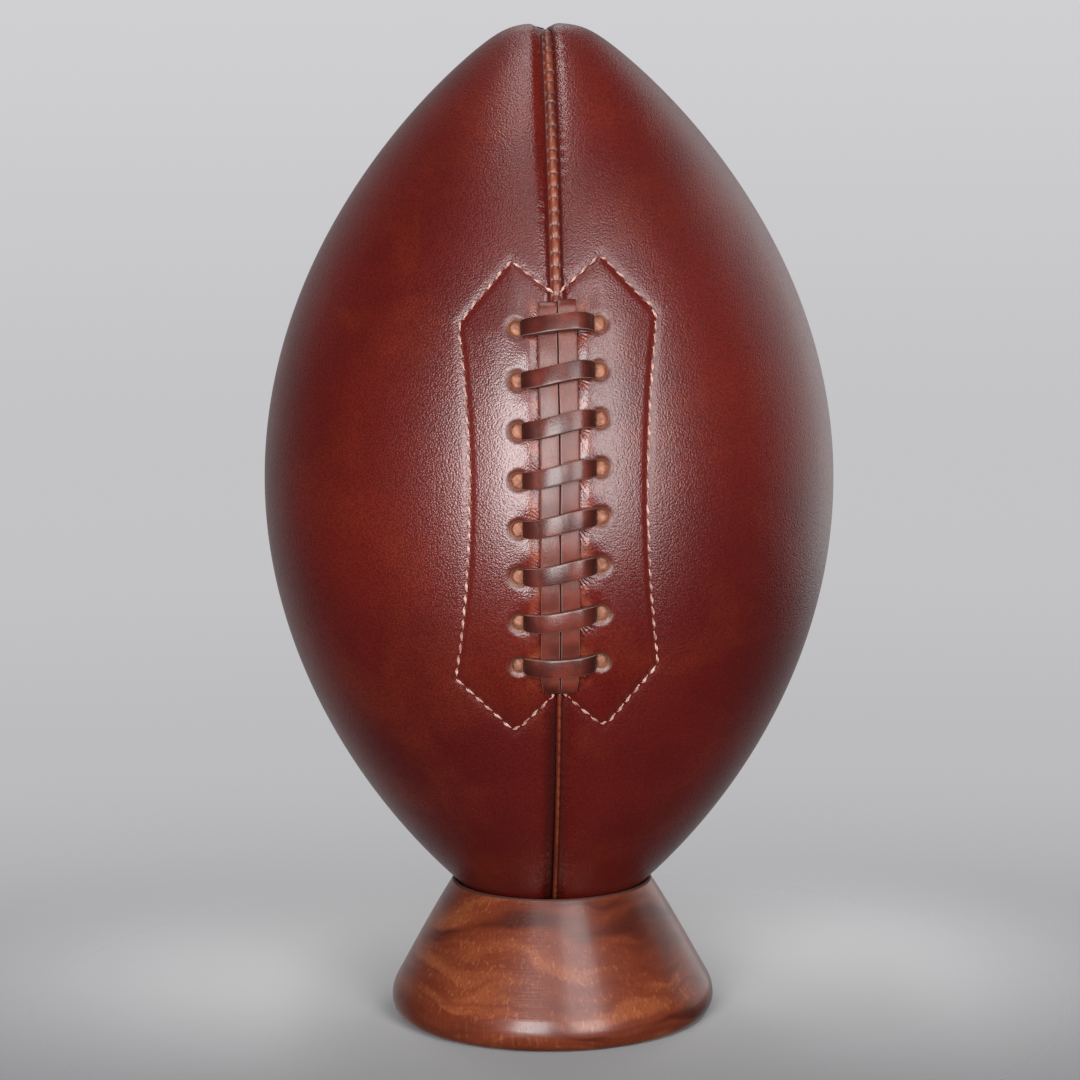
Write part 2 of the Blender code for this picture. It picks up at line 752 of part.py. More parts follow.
def make_stand(material, collection):
    profile = stand_profile()
    mesh = bpy.data.meshes.new("stand")
    edges = [(i, i + 1) for i in range(len(profile) - 1)]
    mesh.from_pydata([(radius, 0, height) for radius, height in profile], edges, [])
    stand = new_object("stand", mesh, material, collection)
    screw = stand.modifiers.new("turning", "SCREW")
    screw.steps = STAND_STEPS
    screw.render_steps = STAND_STEPS
    screw.use_merge_vertices = True
    screw.merge_threshold = CLEAR / 10
    screw.use_smooth_shade = True
    return stand


def main():
    clear_scene()
    parts = new_collection("rugby_ball_on_stand")
    cutters = new_collection("cutters", hidden=True)

    hide = new_material("chestnut_leather", (0.115, 0.020, 0.011), 0.42)
    lacing = new_material("dark_lace_leather", (0.060, 0.016, 0.011), 0.40)
    edge = new_material("raw_edge_leather", (0.240, 0.065, 0.022), 0.60)
    natural = new_material("natural_leather", (0.330, 0.150, 0.075), 0.75)
    thread = new_material("waxed_thread", (0.450, 0.240, 0.190), 0.65)
    rubber = new_material("red_rubber", (0.260, 0.050, 0.030), 0.55)
    cord = new_material("linen_cord", (0.520, 0.430, 0.300), 0.80)
    wood = new_material("polished_wood", (0.180, 0.060, 0.024), 0.32)

    make_stand(wood, parts)
    ball = bpy.data.objects.new("ball_lift", None)
    ball.location.z = ball_height()
    parts.objects.link(ball)

    through = 3 * LACE_DEPTH
    left_holes = round_cutter(
        "left_hole_cutter", hole_places(-1), HOLE_RADIUS, through, cutters, ball
    )
    right_holes = round_cutter(
        "right_hole_cutter", hole_places(1), HOLE_RADIUS, through, cutters, ball
    )
    tuck_size = (2 * (LACE_WIDTH + CLEAR + TUCK_CLEAR), 2 * TUCK_HALF, through)
    tucks = slot_cutter("tuck_cutter", tuck_places(), tuck_size, cutters, ball)

    front_left = make_panel("front_left_panel", LEFT, hide, parts, ball, slit_last=True)
    front_right = make_panel("front_right_panel", FRONT, hide, parts, ball, slit_first=True)
    make_panel("rear_right_panel", RIGHT, hide, parts, ball)
    make_panel("rear_left_panel", REAR, hide, parts, ball)
    left_facing = make_facing("left_facing", -1, natural, parts, ball)
    right_facing = make_facing("right_facing", 1, natural, parts, ball)
    for piece, holes in (
        (front_left, left_holes),
        (left_facing, left_holes),
        (front_right, right_holes),
        (right_facing, right_holes),
    ):
        cut(piece, holes)
        cut(piece, tucks)

    side_end = station_at_radius(CLEAR)
    front_end = station_at_radius(WELT_THICKNESS / 2 + CLEAR)
    slit_gap = SLIT_END + CLEAR
    seams = (
        ("front_upper", FRONT, station_at_height(LACE_CENTRE + slit_gap), front_end),
        ("front_lower", FRONT, -front_end, station_at_height(LACE_CENTRE - slit_gap)),
        ("right", RIGHT, -side_end, side_end),
        ("rear", REAR, -front_end, front_end),
        ("left", LEFT, -side_end, side_end),
    )
    for name, seam, first, last in seams:
        make_welt(name + "_welt", seam, first, last, edge, parts, ball)
        make_seam_thread(name + "_seam_thread", seam, first, last, thread, parts, ball)

    make_facing_thread("left_facing_thread", -1, thread, parts, ball)
    make_facing_thread("right_facing_thread", 1, thread, parts, ball)
    make_tongue(natural, parts, ball)
    make_upright("left_upright_lace", -1, lacing, parts, ball)
    make_upright("right_upright_lace", 1, lacing, parts, ball)
    make_cross_lace(lacing, parts, ball)

    bladder = make_bladder(rubber, parts, ball)
    make_neck(rubber, parts, cutters, ball)
    make_tie(cord, parts, ball)
    path = neck_run()[0]
    mouth = round_cutter(
        "mouth_cutter",
        [(path[0], path[1] - path[0])],
        NECK_BORE / 2,
        2 * NECK_DIAMETER,
        cutters,
        ball,
    )
    cut(bladder, mouth)


main()
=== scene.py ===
import bmesh
import bpy
import numpy as np
from mathutils import Matrix


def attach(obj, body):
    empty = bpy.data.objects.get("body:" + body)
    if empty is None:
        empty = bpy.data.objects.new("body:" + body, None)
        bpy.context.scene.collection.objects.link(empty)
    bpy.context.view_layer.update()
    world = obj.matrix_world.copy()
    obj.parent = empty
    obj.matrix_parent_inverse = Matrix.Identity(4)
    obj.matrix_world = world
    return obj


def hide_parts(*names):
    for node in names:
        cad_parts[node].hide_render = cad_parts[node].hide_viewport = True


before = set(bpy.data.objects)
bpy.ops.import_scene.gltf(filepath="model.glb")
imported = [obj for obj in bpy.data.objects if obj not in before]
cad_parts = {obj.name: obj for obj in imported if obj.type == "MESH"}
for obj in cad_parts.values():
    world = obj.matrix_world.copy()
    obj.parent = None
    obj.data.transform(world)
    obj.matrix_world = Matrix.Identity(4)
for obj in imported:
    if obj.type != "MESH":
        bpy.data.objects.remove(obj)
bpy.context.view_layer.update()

# The panels. Four quarters of chestnut hide, 2.2 mm thick, blocked to shape, with their edges turned
# in to be sewn. The front two have eight lace holes each, punched through, and the line of stitches
# round the facing draws them in, so that the leather inside it stands a little proud.

# Sizes are in millimetres until a mesh is made: the ball's outline, the hide and its seams, the rows
# of lace holes, one hole, the slit's half length, and the pitch of the seams' stitches.
LENGTH, POINTED, RADIUS, POWER, BLUNT = 302.5, 316.5, 95.0, 0.82, 2.0
HALF = POINTED / 2  # where the outline would come to a point if its ends were not blunt
HIDE, GAP, BEND, SEAM_DEPTH, SLIT_DEPTH, TIP = 2.2, 1.45, 2.6, 5.6, 4.5, 2.9
LACE_MIDDLE, ROWS, PITCH, RISE = 4.9, 8, 14.85, 3.7
HOLE_OFFSET, HOLE, SLIT_END, TICK = 12.5, 3.3, 60.4, 4.75
SIDES = ("left", -1), ("right", 1)


def smooth(low, high, x):
    """0 below low, 1 above high, and a cubic between them."""
    share = np.clip((x - low) / (high - low), 0, 1)
    return share * share * (3 - 2 * share)


def bell(x, width):
    """1 at 0, falling off on both sides by the square of x over the width."""
    return np.exp(-((x / width) ** 2))


def outline(t):
    """Radius and height of the ball's outline at t, from -1 to 1. The radius is the largest one times
    a power of 1 - t squared; the height runs with t and is capped softly at the blunt ends."""
    run = HALF * np.abs(t)
    height = run - BLUNT * np.log1p(np.exp((run - LENGTH / 2) / BLUNT))
    return RADIUS * np.maximum(1 - t * t, 0) ** POWER, np.copysign(height, t)


def station(radius):
    """The upper t at which the outline has this radius: the outline's power turned round."""
    return np.sqrt(1 - (radius / RADIUS) ** (1 / POWER))


def under(t, depth):
    """Radius and height of the place this deep under the outline at t, square to it."""
    before, after = outline(np.clip(t - 1e-4, -1, 1)), outline(np.clip(t + 1e-4, -1, 1))
    across, up = after[0] - before[0], after[1] - before[1]
    run = np.hypot(across, up)
    radius, height = outline(t)
    return radius - depth * up / run, height + depth * across / run


def drawn_in(distance, t):
    """How far the seams draw the skin in, fading with the distance from a seam's plane; towards the
    ball's ends, where the quarters narrow, they draw it in more and more steeply."""
    ends = 1.3 * smooth(0.42, 0.75, np.abs(t)) * bell(distance, 3.8)
    return 0.7 * np.exp(-np.maximum(distance - GAP, 0) / 10) + ends


def closing(t):
    """1 along a seam, falling to 0.3 at the ball's ends, where the panels' tips close over the welts."""
    return 1 - 0.7 * smooth(0.945, 0.98, np.abs(t))


STAND, SEAT = 45.0, 31.0  # the stand's height, and the radius of the ring that it holds the ball by
MIDDLE = STAND + outline(station(SEAT))[1]  # height of the ball's middle


def hole_heights(side):
    """Heights of one side's holes from the lacing's middle, from the lowest up: evenly pitched, with
    the right ones higher than the left by a rise that fades towards both ends."""
    row = np.arange(ROWS)[::-1]
    rise = RISE * (1 - (np.abs(2 * row - ROWS + 1) / ROWS) ** 3)
    return PITCH * ((ROWS - 1) / 2 - row) + side * rise / 2


# Corners of each facing's line of stitches, as offset from the seam and height from the lacing's middle:
# the notch at the seam, the upper peak and shoulder, the lower shoulder and peak, and the lower notch.
FACING_LINES = {
    -1: ((0.6, 61.7), (13.8, 71.6), (30.2, 52.4), (32.0, -57.4), (13.8, -75.0), (0.6, -61.5)),
    1: ((0.6, 62.2), (13.8, 73.3), (30.9, 55.2), (30.5, -53.2), (13.8, -73.8), (0.6, -61.5)),
}


def facing_side(side, height):
    """Offset of the long side of a facing's line of stitches: from the upper shoulder to the lower
    one, drawn in to a waist between them."""
    (high_offset, high), (low_offset, low) = FACING_LINES[side][2:4]
    share = np.clip((height - low) / (high - low), 0, 1)
    return low_offset + (high_offset - low_offset) * share - 3.8 * (1 - (2 * share - 1) ** 2)


def facing_line(side):
    """The line of stitches round a facing, as offset and height: from the notch at the seam over a
    peak to the shoulder, down the long side, and over the lower shoulder and peak to the seam."""
    corners = np.array(FACING_LINES[side])
    share = np.linspace(0, 1, 45)[:-1, None]
    upper, lower = (np.concatenate([a + (b - a) * share for a, b in zip(run, run[1:])] + [run[-1:]])
                    for run in (corners[:3], corners[3:]))
    height = np.linspace(corners[2, 1], corners[3, 1], 120)[1:-1]
    return np.concatenate([upper, np.stack([facing_side(side, height), height], -1), lower])


def facing_ends(side, offset):
    """Heights of the line of stitches over a facing's upper peak and under its lower one."""
    corners = np.array(FACING_LINES[side]).T
    return np.interp(offset, *corners[:, :3]), np.interp(offset, *corners[:, :2:-1])


def inside_facing(side, offset, height):
    """Distance from the line of stitches, counted positive inside it."""
    line = facing_line(side)
    apart = np.hypot(offset[..., None] - line[:, 0], height[..., None] - line[:, 1]).min(-1)
    top, bottom = facing_ends(side, offset)
    inside = (height < top) & (height > bottom) & (offset < facing_side(side, height))
    return np.where(inside, apart, -apart)


def hole_gap(side, offset, height):
    """Distance from the edge of the nearest lace hole, below 0 inside it."""
    holes = hole_heights(side)
    return np.hypot(offset[..., None] - HOLE_OFFSET, height[..., None] - holes).min(-1) - HOLE


def relief(side, offset, height):
    """How far a front panel stands out at an offset from the seam and a height from the lacing's
    middle: a lift inside the facing's stitches, a groove under them, a bulge between the lace holes,
    where the bars hold the leather down, and at each hole a lip and a bevel down to its bottom."""
    inside = inside_facing(side, offset, height)
    laced = smooth(66, 58, np.abs(height))
    lift = (0.17 + 0.08 * side) * smooth(0.0, 1.9, inside) + 0.50 * smooth(1.0, 14.0, inside)
    lift = lift * (1 - 0.9 * laced * smooth(9.0, 5.2, offset))
    groove = -0.36 * bell(inside, 1.2) - 0.3 * np.exp(-np.hypot(inside, 1.0) / 4)
    phase = np.interp(height, hole_heights(side), np.arange(ROWS))
    bulge = -0.36 * np.cos(2 * np.pi * phase) * bell(offset - 9.6, 3.2) * laced
    apart = hole_gap(side, offset, height)
    lip = 0.05 * bell(apart - 1.0, 0.7) - 0.07 * bell(apart, 0.5)
    bevel = -0.9 * smooth(0.1, -1.0, apart) * smooth(9.8, 11.5, offset)
    return lift + groove + bulge + lip + bevel


def creases(side, offset, height):
    """Fans of fine creases that start where each bar leaves an upright for its hole, below it on the
    right and above it on the left: the angle about the nearest start, and the creases' strength."""
    across = offset[..., None] - 4.6
    along = side * (hole_heights(side) - height[..., None]) - 2.2
    angle, reach = np.arctan2(along, across), np.hypot(along, across)
    strength = bell(reach - 3.0, 2.2) * smooth(-0.3, 0.1, angle) * smooth(1.4, 0.8, angle)
    nearest = strength.argmax(-1)[..., None]
    angle, strength = (np.take_along_axis(v, nearest, -1)[..., 0] for v in (angle, strength))
    return angle, strength * (1.0 if side > 0 else 0.35)


def spread(start, *stops):
    """Numbers from start through each stop, a pair of its place and the steps to it."""
    runs = [[start]]
    for place, steps in stops:
        runs.append(np.linspace(runs[-1][-1], place, steps + 1)[1:])
    return np.concatenate(runs)


def hole_rows(holes):
    """Stops for a grid's rows from the foot of the lowest hole's block, a square of twice the hole's
    size, to the top of the highest one: fine over each block and coarse between two."""
    stops = [stop for low in holes for stop in ((low - 2 * HOLE, 2), (low + 2 * HOLE, 24))]
    return stops[1:]


def cell_means(values):
    """The mean of the four corners of each of a grid's cells."""
    return (values[:-1, :-1] + values[1:, 1:] + values[:-1, 1:] + values[1:, :-1]) / 4


def punched(offset, height, centre, holes):
    """Bends a square grid round each hole: the square rings about a hole's centre turn into circles
    at and inside the hole's edge and die out into the square grid at twice its radius. Also gives
    each corner's ring, as a share of the block's half width."""
    ring = np.ones(offset.shape)
    for middle in holes:
        p, q = (offset - centre) / (2 * HOLE), (height - middle) / (2 * HOLE)
        size = np.maximum(np.abs(p), np.abs(q))
        block = size < 1 - 1e-9
        wide = np.abs(p) >= np.abs(q)
        big, small = np.where(wide, p, q), np.where(wide, q, p)
        turn = np.pi / 4 * small / np.where(np.abs(big) < 1e-9, 1, big)
        round_p = np.where(wide, big * np.cos(turn), big * np.sin(turn))
        round_q = np.where(wide, big * np.sin(turn), big * np.cos(turn))
        share = np.where(block, smooth(1.0, 0.55, size), 0)
        offset = offset + share * (round_p - p) * 2 * HOLE
        height = height + share * (round_q - q) * 2 * HOLE
        ring = np.where(block, size, ring)
    return offset, height, ring


def shape(name, points, materials, layers=(), keep=None, flip=False, closed=False):
    """A mesh over a grid of points, or over many grids at once: every cell is a face, and corners on
    one spot are welded, which closes seams and poles. keep leaves out cells, flip turns the faces
    round, and closed lets the faces of a whole skin find outward by themselves."""
    rows, columns = points.shape[-3:-1]
    corner = np.arange(rows * columns).reshape(rows, columns)
    cells = np.stack([corner[:-1, :-1], corner[:-1, 1:], corner[1:, 1:], corner[1:, :-1]], -1)
    cells = cells.reshape(-1, 4) if keep is None else cells[keep]
    cells = cells[:, ::-1] if flip else cells
    first = np.arange(points.size // (3 * rows * columns)) * rows * columns
    used, faces = np.unique((cells + first[:, None, None]).reshape(-1, 4), return_inverse=True)
    mesh = bpy.data.meshes.new(name)
    mesh.from_pydata(points.reshape(-1, 3)[used] / 1000, [], faces.reshape(-1, 4).tolist())
    for label, values in dict(layers).items():
        values = np.broadcast_to(values, points.shape[:-1]).reshape(-1)[used]
        mesh.attributes.new(label, "FLOAT", "POINT").data.foreach_set("value", values.astype("f4"))
    bm = bmesh.new()
    bm.from_mesh(mesh)
    bmesh.ops.remove_doubles(bm, verts=bm.verts, dist=2e-7)
    if closed:
        bmesh.ops.recalc_face_normals(bm, faces=bm.faces)
    bm.to_mesh(mesh)
    bm.free()
    mesh.shade_smooth()
    obj = bpy.data.objects.new(name, mesh)
    bpy.context.scene.collection.objects.link(obj)
    for material in materials:
        mesh.materials.append(material)
    return obj


def thicken(obj, thickness, group=None):
    """Gives a sheet its thickness inwards, with its cut edges and back in the second material. A group
    names the layer of shares that thin it."""
    wall = obj.modifiers.new("thickness", "SOLIDIFY")
    wall.thickness, wall.offset = thickness / 1000, -1
    wall.use_quality_normals = True
    wall.material_offset = wall.material_offset_rim = 1
    if group is not None:
        values = obj.data.attributes[group].data
        layer = obj.vertex_groups.new(name=group)
        shares = np.empty(len(values), "f4")
        values.foreach_get("value", shares)
        for share in np.unique(shares):
            layer.add(np.flatnonzero(shares == share).tolist(), float(share), "REPLACE")
        wall.vertex_group = group


def fix(obj, body, slot, *nodes):
    """Puts a piece on its body and lets it stand for the solids of that piece, which it hides. Its
    slot, the finish's name, is not used.
    """
    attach(obj, body)
    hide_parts(*nodes)


def plug(socket, value):
    """Links a shader value to a socket, or gives the socket a plain number or colour."""
    if isinstance(value, Shade):
        socket.id_data.links.new(value.socket, socket)
    else:
        socket.default_value = value


class Shade:
    """A shader value, which is one node's output. Sums of such values and numbers add Math nodes."""

    def __init__(self, socket):
        self.socket = socket

    def node(self, kind, settings=(), sockets=(), output=0):
        """Adds a node, makes its settings, then gives its sockets their values or links."""
        node = self.socket.id_data.nodes.new("ShaderNode" + kind)
        for name, value in dict(settings).items():
            setattr(node, name, value)
        for name, value in dict(sockets).items():
            plug(node.inputs[name], value)
        return Shade(node.outputs[output])

    def maths(self, operation, *others):
        """A Math node's result, worked out from this value and any others."""
        return self.node("Math", {"operation": operation}, dict(enumerate((self, *others))))

    def __add__(self, other):
        return self.maths("ADD", other)

    def __sub__(self, other):
        return self.maths("SUBTRACT", other)

    def __mul__(self, other):
        return self.maths("MULTIPLY", other)

    def __rsub__(self, other):
        return self.node("Math", {"operation": "SUBTRACT"}, {0: other, 1: self})

    __radd__, __rmul__ = __add__, __mul__

    def ramp(self, low, high):
        """0 below low, 1 above high, and a cubic between them."""
        ends = {"Value": self, "From Min": low, "From Max": high}
        return self.node("MapRange", {"interpolation_type": "SMOOTHSTEP"}, ends)

    def between(self, low, high):
        """A colour that goes from low to high as this value goes from 0 to 1."""
        low, high = (colour if isinstance(colour, Shade) else (*colour, 1) for colour in (low, high))
        return self.node("Mix", {"data_type": "RGBA"}, {0: self, 6: low, 7: high}, 2)

    def along(self, axis):
        """This place's distance along the X, Y or Z axis."""
        return self.node("SeparateXYZ", (), {0: self}, axis)

    def stretched(self, x, y, z):
        """This place with its three directions scaled."""
        return self.node("VectorMath", {"operation": "MULTIPLY"}, {0: self, 1: (x, y, z)})

    def noise(self, scale, detail=2.0, roughness=0.5, distortion=0.0):
        """Cloudy noise from 0 to 1 at this place, with so many clouds to the metre."""
        grain = {"Vector": self, "Scale": scale, "Detail": detail, "Roughness": roughness}
        return self.node("TexNoise", (), {**grain, "Distortion": distortion})

    def pebbles(self, scale):
        """Distance to the middle of the nearest of many small cells, so many to the metre."""
        return self.node("TexVoronoi", (), {"Vector": self, "Scale": scale})

    def layer(self, label):
        """The piece's own number of this name, kept at its corners."""
        return self.node("Attribute", {"attribute_name": label}, (), "Fac")

    def bumps(self, strength=1.0):
        """The surface's direction, tilted by this value taken as a height in millimetres."""
        return self.node("Bump", (), {"Strength": strength, "Distance": 0.001, "Height": self})


def feed(sockets, **values):
    """Gives a shader's sockets, by their names, numbers or shader values."""
    for label, value in values.items():
        plug(sockets[label.replace("_", " ").title().replace("Ior", "IOR")], value)


def new_finish(name, **constants):
    """A new material with these numbers on its shader, the shader's sockets, and the object's place."""
    material = bpy.data.materials.new(name)
    material.use_nodes = True
    nodes = material.node_tree.nodes
    sockets = nodes["Principled BSDF"].inputs
    feed(sockets, **constants)
    return material, sockets, Shade(nodes.new("ShaderNodeTexCoord").outputs["Object"])


def chestnut_leather(name, laced):
    """Aniline-dyed hide: red-brown with darker and warmer clouds, a pebbled grain, puckers along the
    seams at the stitches' pitch, a shine along the turned edges, painted shade down into each seam,
    near the lacing a worn, creased strip, painted shade in the groove of the facing's stitches, hole
    edges darkened partly as cut rims and partly with painted shade, and painted shade left of the
    seam below it."""
    material, sockets, place = new_finish(name, specular_ior_level=0.5)
    clouds = place.noise(11, 3, 0.55).ramp(0.36, 0.66)
    patches = place.noise(30, 4, 0.6, 0.4).ramp(0.44, 0.74)
    speckle = place.noise(1300, 2, 0.6)
    colour = clouds.between((0.055, 0.0025, 0.0017), (0.086, 0.0055, 0.0030))
    colour = (patches * 0.5).between(colour, (0.108, 0.0135, 0.0045))
    colour = (speckle.ramp(0.50, 0.75) * 0.45).between(colour, (0.034, 0.0028, 0.0022))
    gap, run = place.layer("seam_gap"), place.layer("seam_run")
    # Painted shade: the skin darkens down the turned edge into each seam.
    colour = ((1 - gap.ramp(1.4, 4.0)) * 0.6).between(colour, (0.030, 0.0030, 0.0022))
    pebbles = place.pebbles(1600)
    colour = (pebbles.ramp(0.30, 0.65) * 0.45).between(colour, (0.022, 0.0012, 0.0010))
    height = 0.03 * place.noise(2600, 1) - 0.12 * pebbles + 0.030 * place.noise(260, 2)
    pull = (run * (2 * np.pi / TICK)).maths("COSINE")
    height = height + 0.14 * pull * (1 - gap.ramp(2.0, 6.0)) * place.noise(60, 1).ramp(0.4, 0.65)
    crest = gap.ramp(1.8, 3.0) * (1 - gap.ramp(3.6, 7.0))
    rough = 0.29 + 0.10 * speckle.ramp(0.3, 0.8) - 0.02 * patches - 0.08 * crest
    if laced:
        offset, tall = place.layer("offset"), place.layer("tall")
        inside, hole = place.layer("inside"), place.layer("hole")
        chart = place.node("CombineXYZ", (), {0: offset, 1: tall})
        strip = (1 - offset.ramp(7.5, 11.0)) * (1 - tall.maths("ABSOLUTE").ramp(57, 62))
        worn = strip * chart.noise(0.15, 3, 0.6).ramp(0.40, 0.66)
        colour = (worn * 0.6).between(colour, (0.170, 0.034, 0.0150))
        # Painted shade: the left panel darkens beside the front seam below the lacing.
        left = 1 - place.along("X").ramp(-0.001, 0.001)
        painted_seam_shade = left * (1 - gap.ramp(1.6, 6.0)) * (1 - tall.ramp(-74, -62))
        colour = (painted_seam_shade * 0.75).between(colour, (0.018, 0.0022, 0.0018))
        fan = place.layer("crease_angle") * 24 + 3.0 * chart.noise(0.5, 2)
        height = height + 0.18 * fan.maths("SINE") * place.layer("crease")
        # Painted shade along the groove that the facing's stitches lie in.
        line = 1 - (inside - 0.9).maths("ABSOLUTE").ramp(0.3, 1.9)
        colour = (line * 0.35).between(colour, (0.060, 0.0040, 0.0022))
        # The dark ring round each hole is partly the cut rim's own colour and partly painted shade where
        # the skin drops in.
        colour = (1 - hole.ramp(-0.15, 0.45)).between(colour, (0.050, 0.0110, 0.0060))
        colour = (1 - hole.ramp(-0.8, -0.25)).between(colour, (0.135, 0.043, 0.024))
        burnished = inside.ramp(0.5, 5.0)
        height = height * (1 - 0.35 * burnished)
        rough = rough - 0.05 * burnished + 0.15 * (1 - hole.ramp(0.0, 1.0))
    feed(sockets, base_color=colour, roughness=rough, normal=height.bumps(0.78))
    return material


def raw_edge():
    """Cut leather: brown fibre, darker and lighter by the millimetre, quite dull."""
    material, sockets, place = new_finish("raw_edge_leather", specular_ior_level=0.3)
    fibre = place.noise(900, 3, 0.6)
    colour = fibre.ramp(0.35, 0.7).between((0.150, 0.046, 0.020), (0.330, 0.120, 0.052))
    feed(sockets, base_color=colour, roughness=0.68 + 0.15 * fibre, normal=(0.12 * fibre).bumps())
    return material


def make_panel(name, front, side, materials):
    """A quarter of the ball between a seam at the front or rear and one at the side. Rows go up the
    outline. Columns start deep in the first seam, come up round its turned edge, cross the skin, first
    by their distance from the seam's plane and then by angle, and go down into the second seam."""
    laced = front < 0
    tip = np.arcsin(station(TIP))
    band = 36.0  # up to here the columns keep their distance from the first seam
    if laced:
        fine = 80.0  # up to here the rows lie close, counted from the lacing's middle
        holes = hole_heights(side)
        heights = spread(-fine, (holes[0] - 2 * HOLE, 36), *hole_rows(holes), (fine, 36))
        zone = (LACE_MIDDLE + heights) / HALF
        low = np.sin(np.linspace(-tip, np.arcsin(zone[0]), 52)[:-1])
        high = np.sin(np.linspace(np.arcsin(zone[-1]), tip, 52)[1:])
        t = np.concatenate([low, zone, high])[:, None]
        steps = spread(GAP + BEND, (HOLE_OFFSET - 2 * HOLE, 3), (HOLE_OFFSET + 2 * HOLE, 24),
                       (25.5, 9), (33.0, 14), (band, 3))
    else:
        t = np.sin(np.linspace(-tip, tip, 230))[:, None]
        steps = spread(GAP + BEND, (12.0, 8), (band, 12))
    radius = outline(t)[0]
    # The bend narrows with the quarter. Below the lacing the front seam closes up on its thin welt, and
    # beyond the lacing the right panel turns in more tightly and the left one with a soft fold.
    bend_share = 0.6
    bend = np.minimum(BEND, bend_share * (radius * np.sin(np.pi / 4) - GAP))
    below = (0.85 + 0.25 * (side > 0)) * smooth(-0.352, -0.385, t) if laced else 0
    gap = (GAP - below) * closing(t)
    plain = smooth(61, 68, np.abs(t * HALF - LACE_MIDDLE)) if laced else 0
    sharp = bend * (1 - 0.5 * plain * (side > 0))
    steep = 1 + 0.6 * plain * (side > 0)
    fold = plain * (side < 0) * (0.30 + 0.65 * smooth(0.45, 0.8, np.abs(t)))
    start, stop = gap + sharp, GAP * closing(t) + bend

    def sunken(first, second, t):
        """How deep the skin lies at these distances from the two seams: drawn in by the nearer one, and
        on the left of the front seam with a soft fold, which falls off at 4 mm from it."""
        return drawn_in(np.minimum(first * steep, second), t) + fold * np.exp(-((first / 4.0) ** 5))

    offset = start + (steps - steps[0]) * np.minimum(1, (0.644 * radius - start) / (band - steps[0]))
    tall = t * HALF - LACE_MIDDLE + 0 * offset
    if laced:
        offset, tall, ring = punched(offset, tall, HOLE_OFFSET, holes)
    place = (LACE_MIDDLE + tall) / HALF
    angle = np.arcsin(offset / outline(place)[0])
    far = np.pi / 2 - np.arcsin(stop / radius)
    share = np.linspace(0, 1, 38)[1:]
    angle = np.append(angle, angle[:, -1:] + (far - angle[:, -1:]) * share, 1)
    place = np.append(place, t + 0 * share, 1)
    near_first, near_second = outline(place)[0] * np.sin(angle), outline(place)[0] * np.cos(angle)
    tall = place * HALF - LACE_MIDDLE
    swell = 0.22 * np.sin(5.1 * place + 2.3 * side) * np.sin(4 * angle) * (radius / RADIUS)
    depth = sunken(near_first, near_second, place) - swell
    if laced:
        depth = depth - relief(side, near_first, tall)
    reach, height = under(place, depth)
    skin = np.stack([reach * np.sin(angle), reach * np.cos(angle), height], -1)

    turn = np.radians([90, 90, 90, 72, 54, 36, 18])
    deep = np.where(np.abs(t * HALF - LACE_MIDDLE) < SLIT_END, SLIT_DEPTH, SEAM_DEPTH)

    def edge(bottom, start, bend, sunk):
        """A turned edge in the seam's plane: a quarter bend, then straight in to the seam's depth."""
        drop = bend * (1 - np.cos(turn)) + (bottom - bend) * np.array([1, 0.5, 0, 0, 0, 0, 0])
        along, height = under(t, drop + sunk)
        along = along - radius * (1 - np.sqrt(1 - (start / radius) ** 2))
        return start - bend * np.sin(turn), along, height

    first = edge(deep if laced else SEAM_DEPTH, start, sharp, sunken(start, np.inf, t))
    second = edge(SEAM_DEPTH, stop, bend, drawn_in(stop, t))
    points = np.concatenate([
        np.stack(first, -1),
        skin,
        np.stack([second[1], second[0], second[2]], -1)[:, ::-1],
    ], 1)

    middle = np.sin(np.pi * np.linspace(0, 1, points.shape[1]))[:, None] ** 2 * np.array([-1, -1, 0])
    end = np.array([0, 0, 1.0])
    tucks = (0.2, 0.3), (0.4, 1.0), (0.6, 2.6)  # the tips turn in by three more rows: across, along
    lower = [points[:1] + a * middle + b * end for a, b in tucks[::-1]]
    upper = [points[-1:] + a * middle - b * end for a, b in tucks]
    points = np.concatenate([*lower, points, *upper])
    points = points * (side, front, 1) + (0, 0, MIDDLE)

    def full(values, first_edge, last_edge):
        """Values of the skin, carried on over the turned edges and the tips."""
        rows = np.zeros((len(values), len(turn)))
        values = np.concatenate([rows + first_edge, values, rows + last_edge], 1)
        return np.pad(values, ((len(tucks), len(tucks)), (0, 0)), mode="edge")

    run = np.cumsum(np.hypot(*np.gradient(np.stack(outline(t[:, 0])), axis=1)))[:, None]
    skive = np.minimum(1, bend / bend_share / (2.5 * HIDE))
    layers = {
        "seam_gap": full(np.minimum(near_first, near_second), first[0], second[0][:, ::-1]),
        "seam_run": full(run + 0 * angle, run, run),
        "skive": full(skive + 0 * angle, skive, skive),
    }
    cells = np.ones(np.array(points.shape[:2]) - 1, bool)
    if laced:
        inside = inside_facing(side, near_first, tall)
        layers["offset"] = full(near_first, first[0], RADIUS)
        layers["tall"] = full(tall, tall[:, :1], tall[:, -1:])
        layers["inside"] = full(inside, inside[:, :1], -99.0)
        layers["hole"] = full(hole_gap(side, near_first, tall), 9.0, 9.0)
        angle, strength = creases(side, near_first, tall)
        layers["crease_angle"], layers["crease"] = full(angle, 0, 0), full(strength, 0, 0)
        # away from the slit a hole's bevel goes on down inside the hole's edge
        hole_edge = np.where(near_first[1:, 1:ring.shape[1]] < 10.7, 0.5, 0.34)
        cells[len(tucks):-len(tucks), len(turn):][:, :ring.shape[1] - 1] = cell_means(ring) > hole_edge
    panel = shape(name, points, materials, layers, cells, flip=side * front > 0)
    thicken(panel, HIDE, "skive")
    return panel


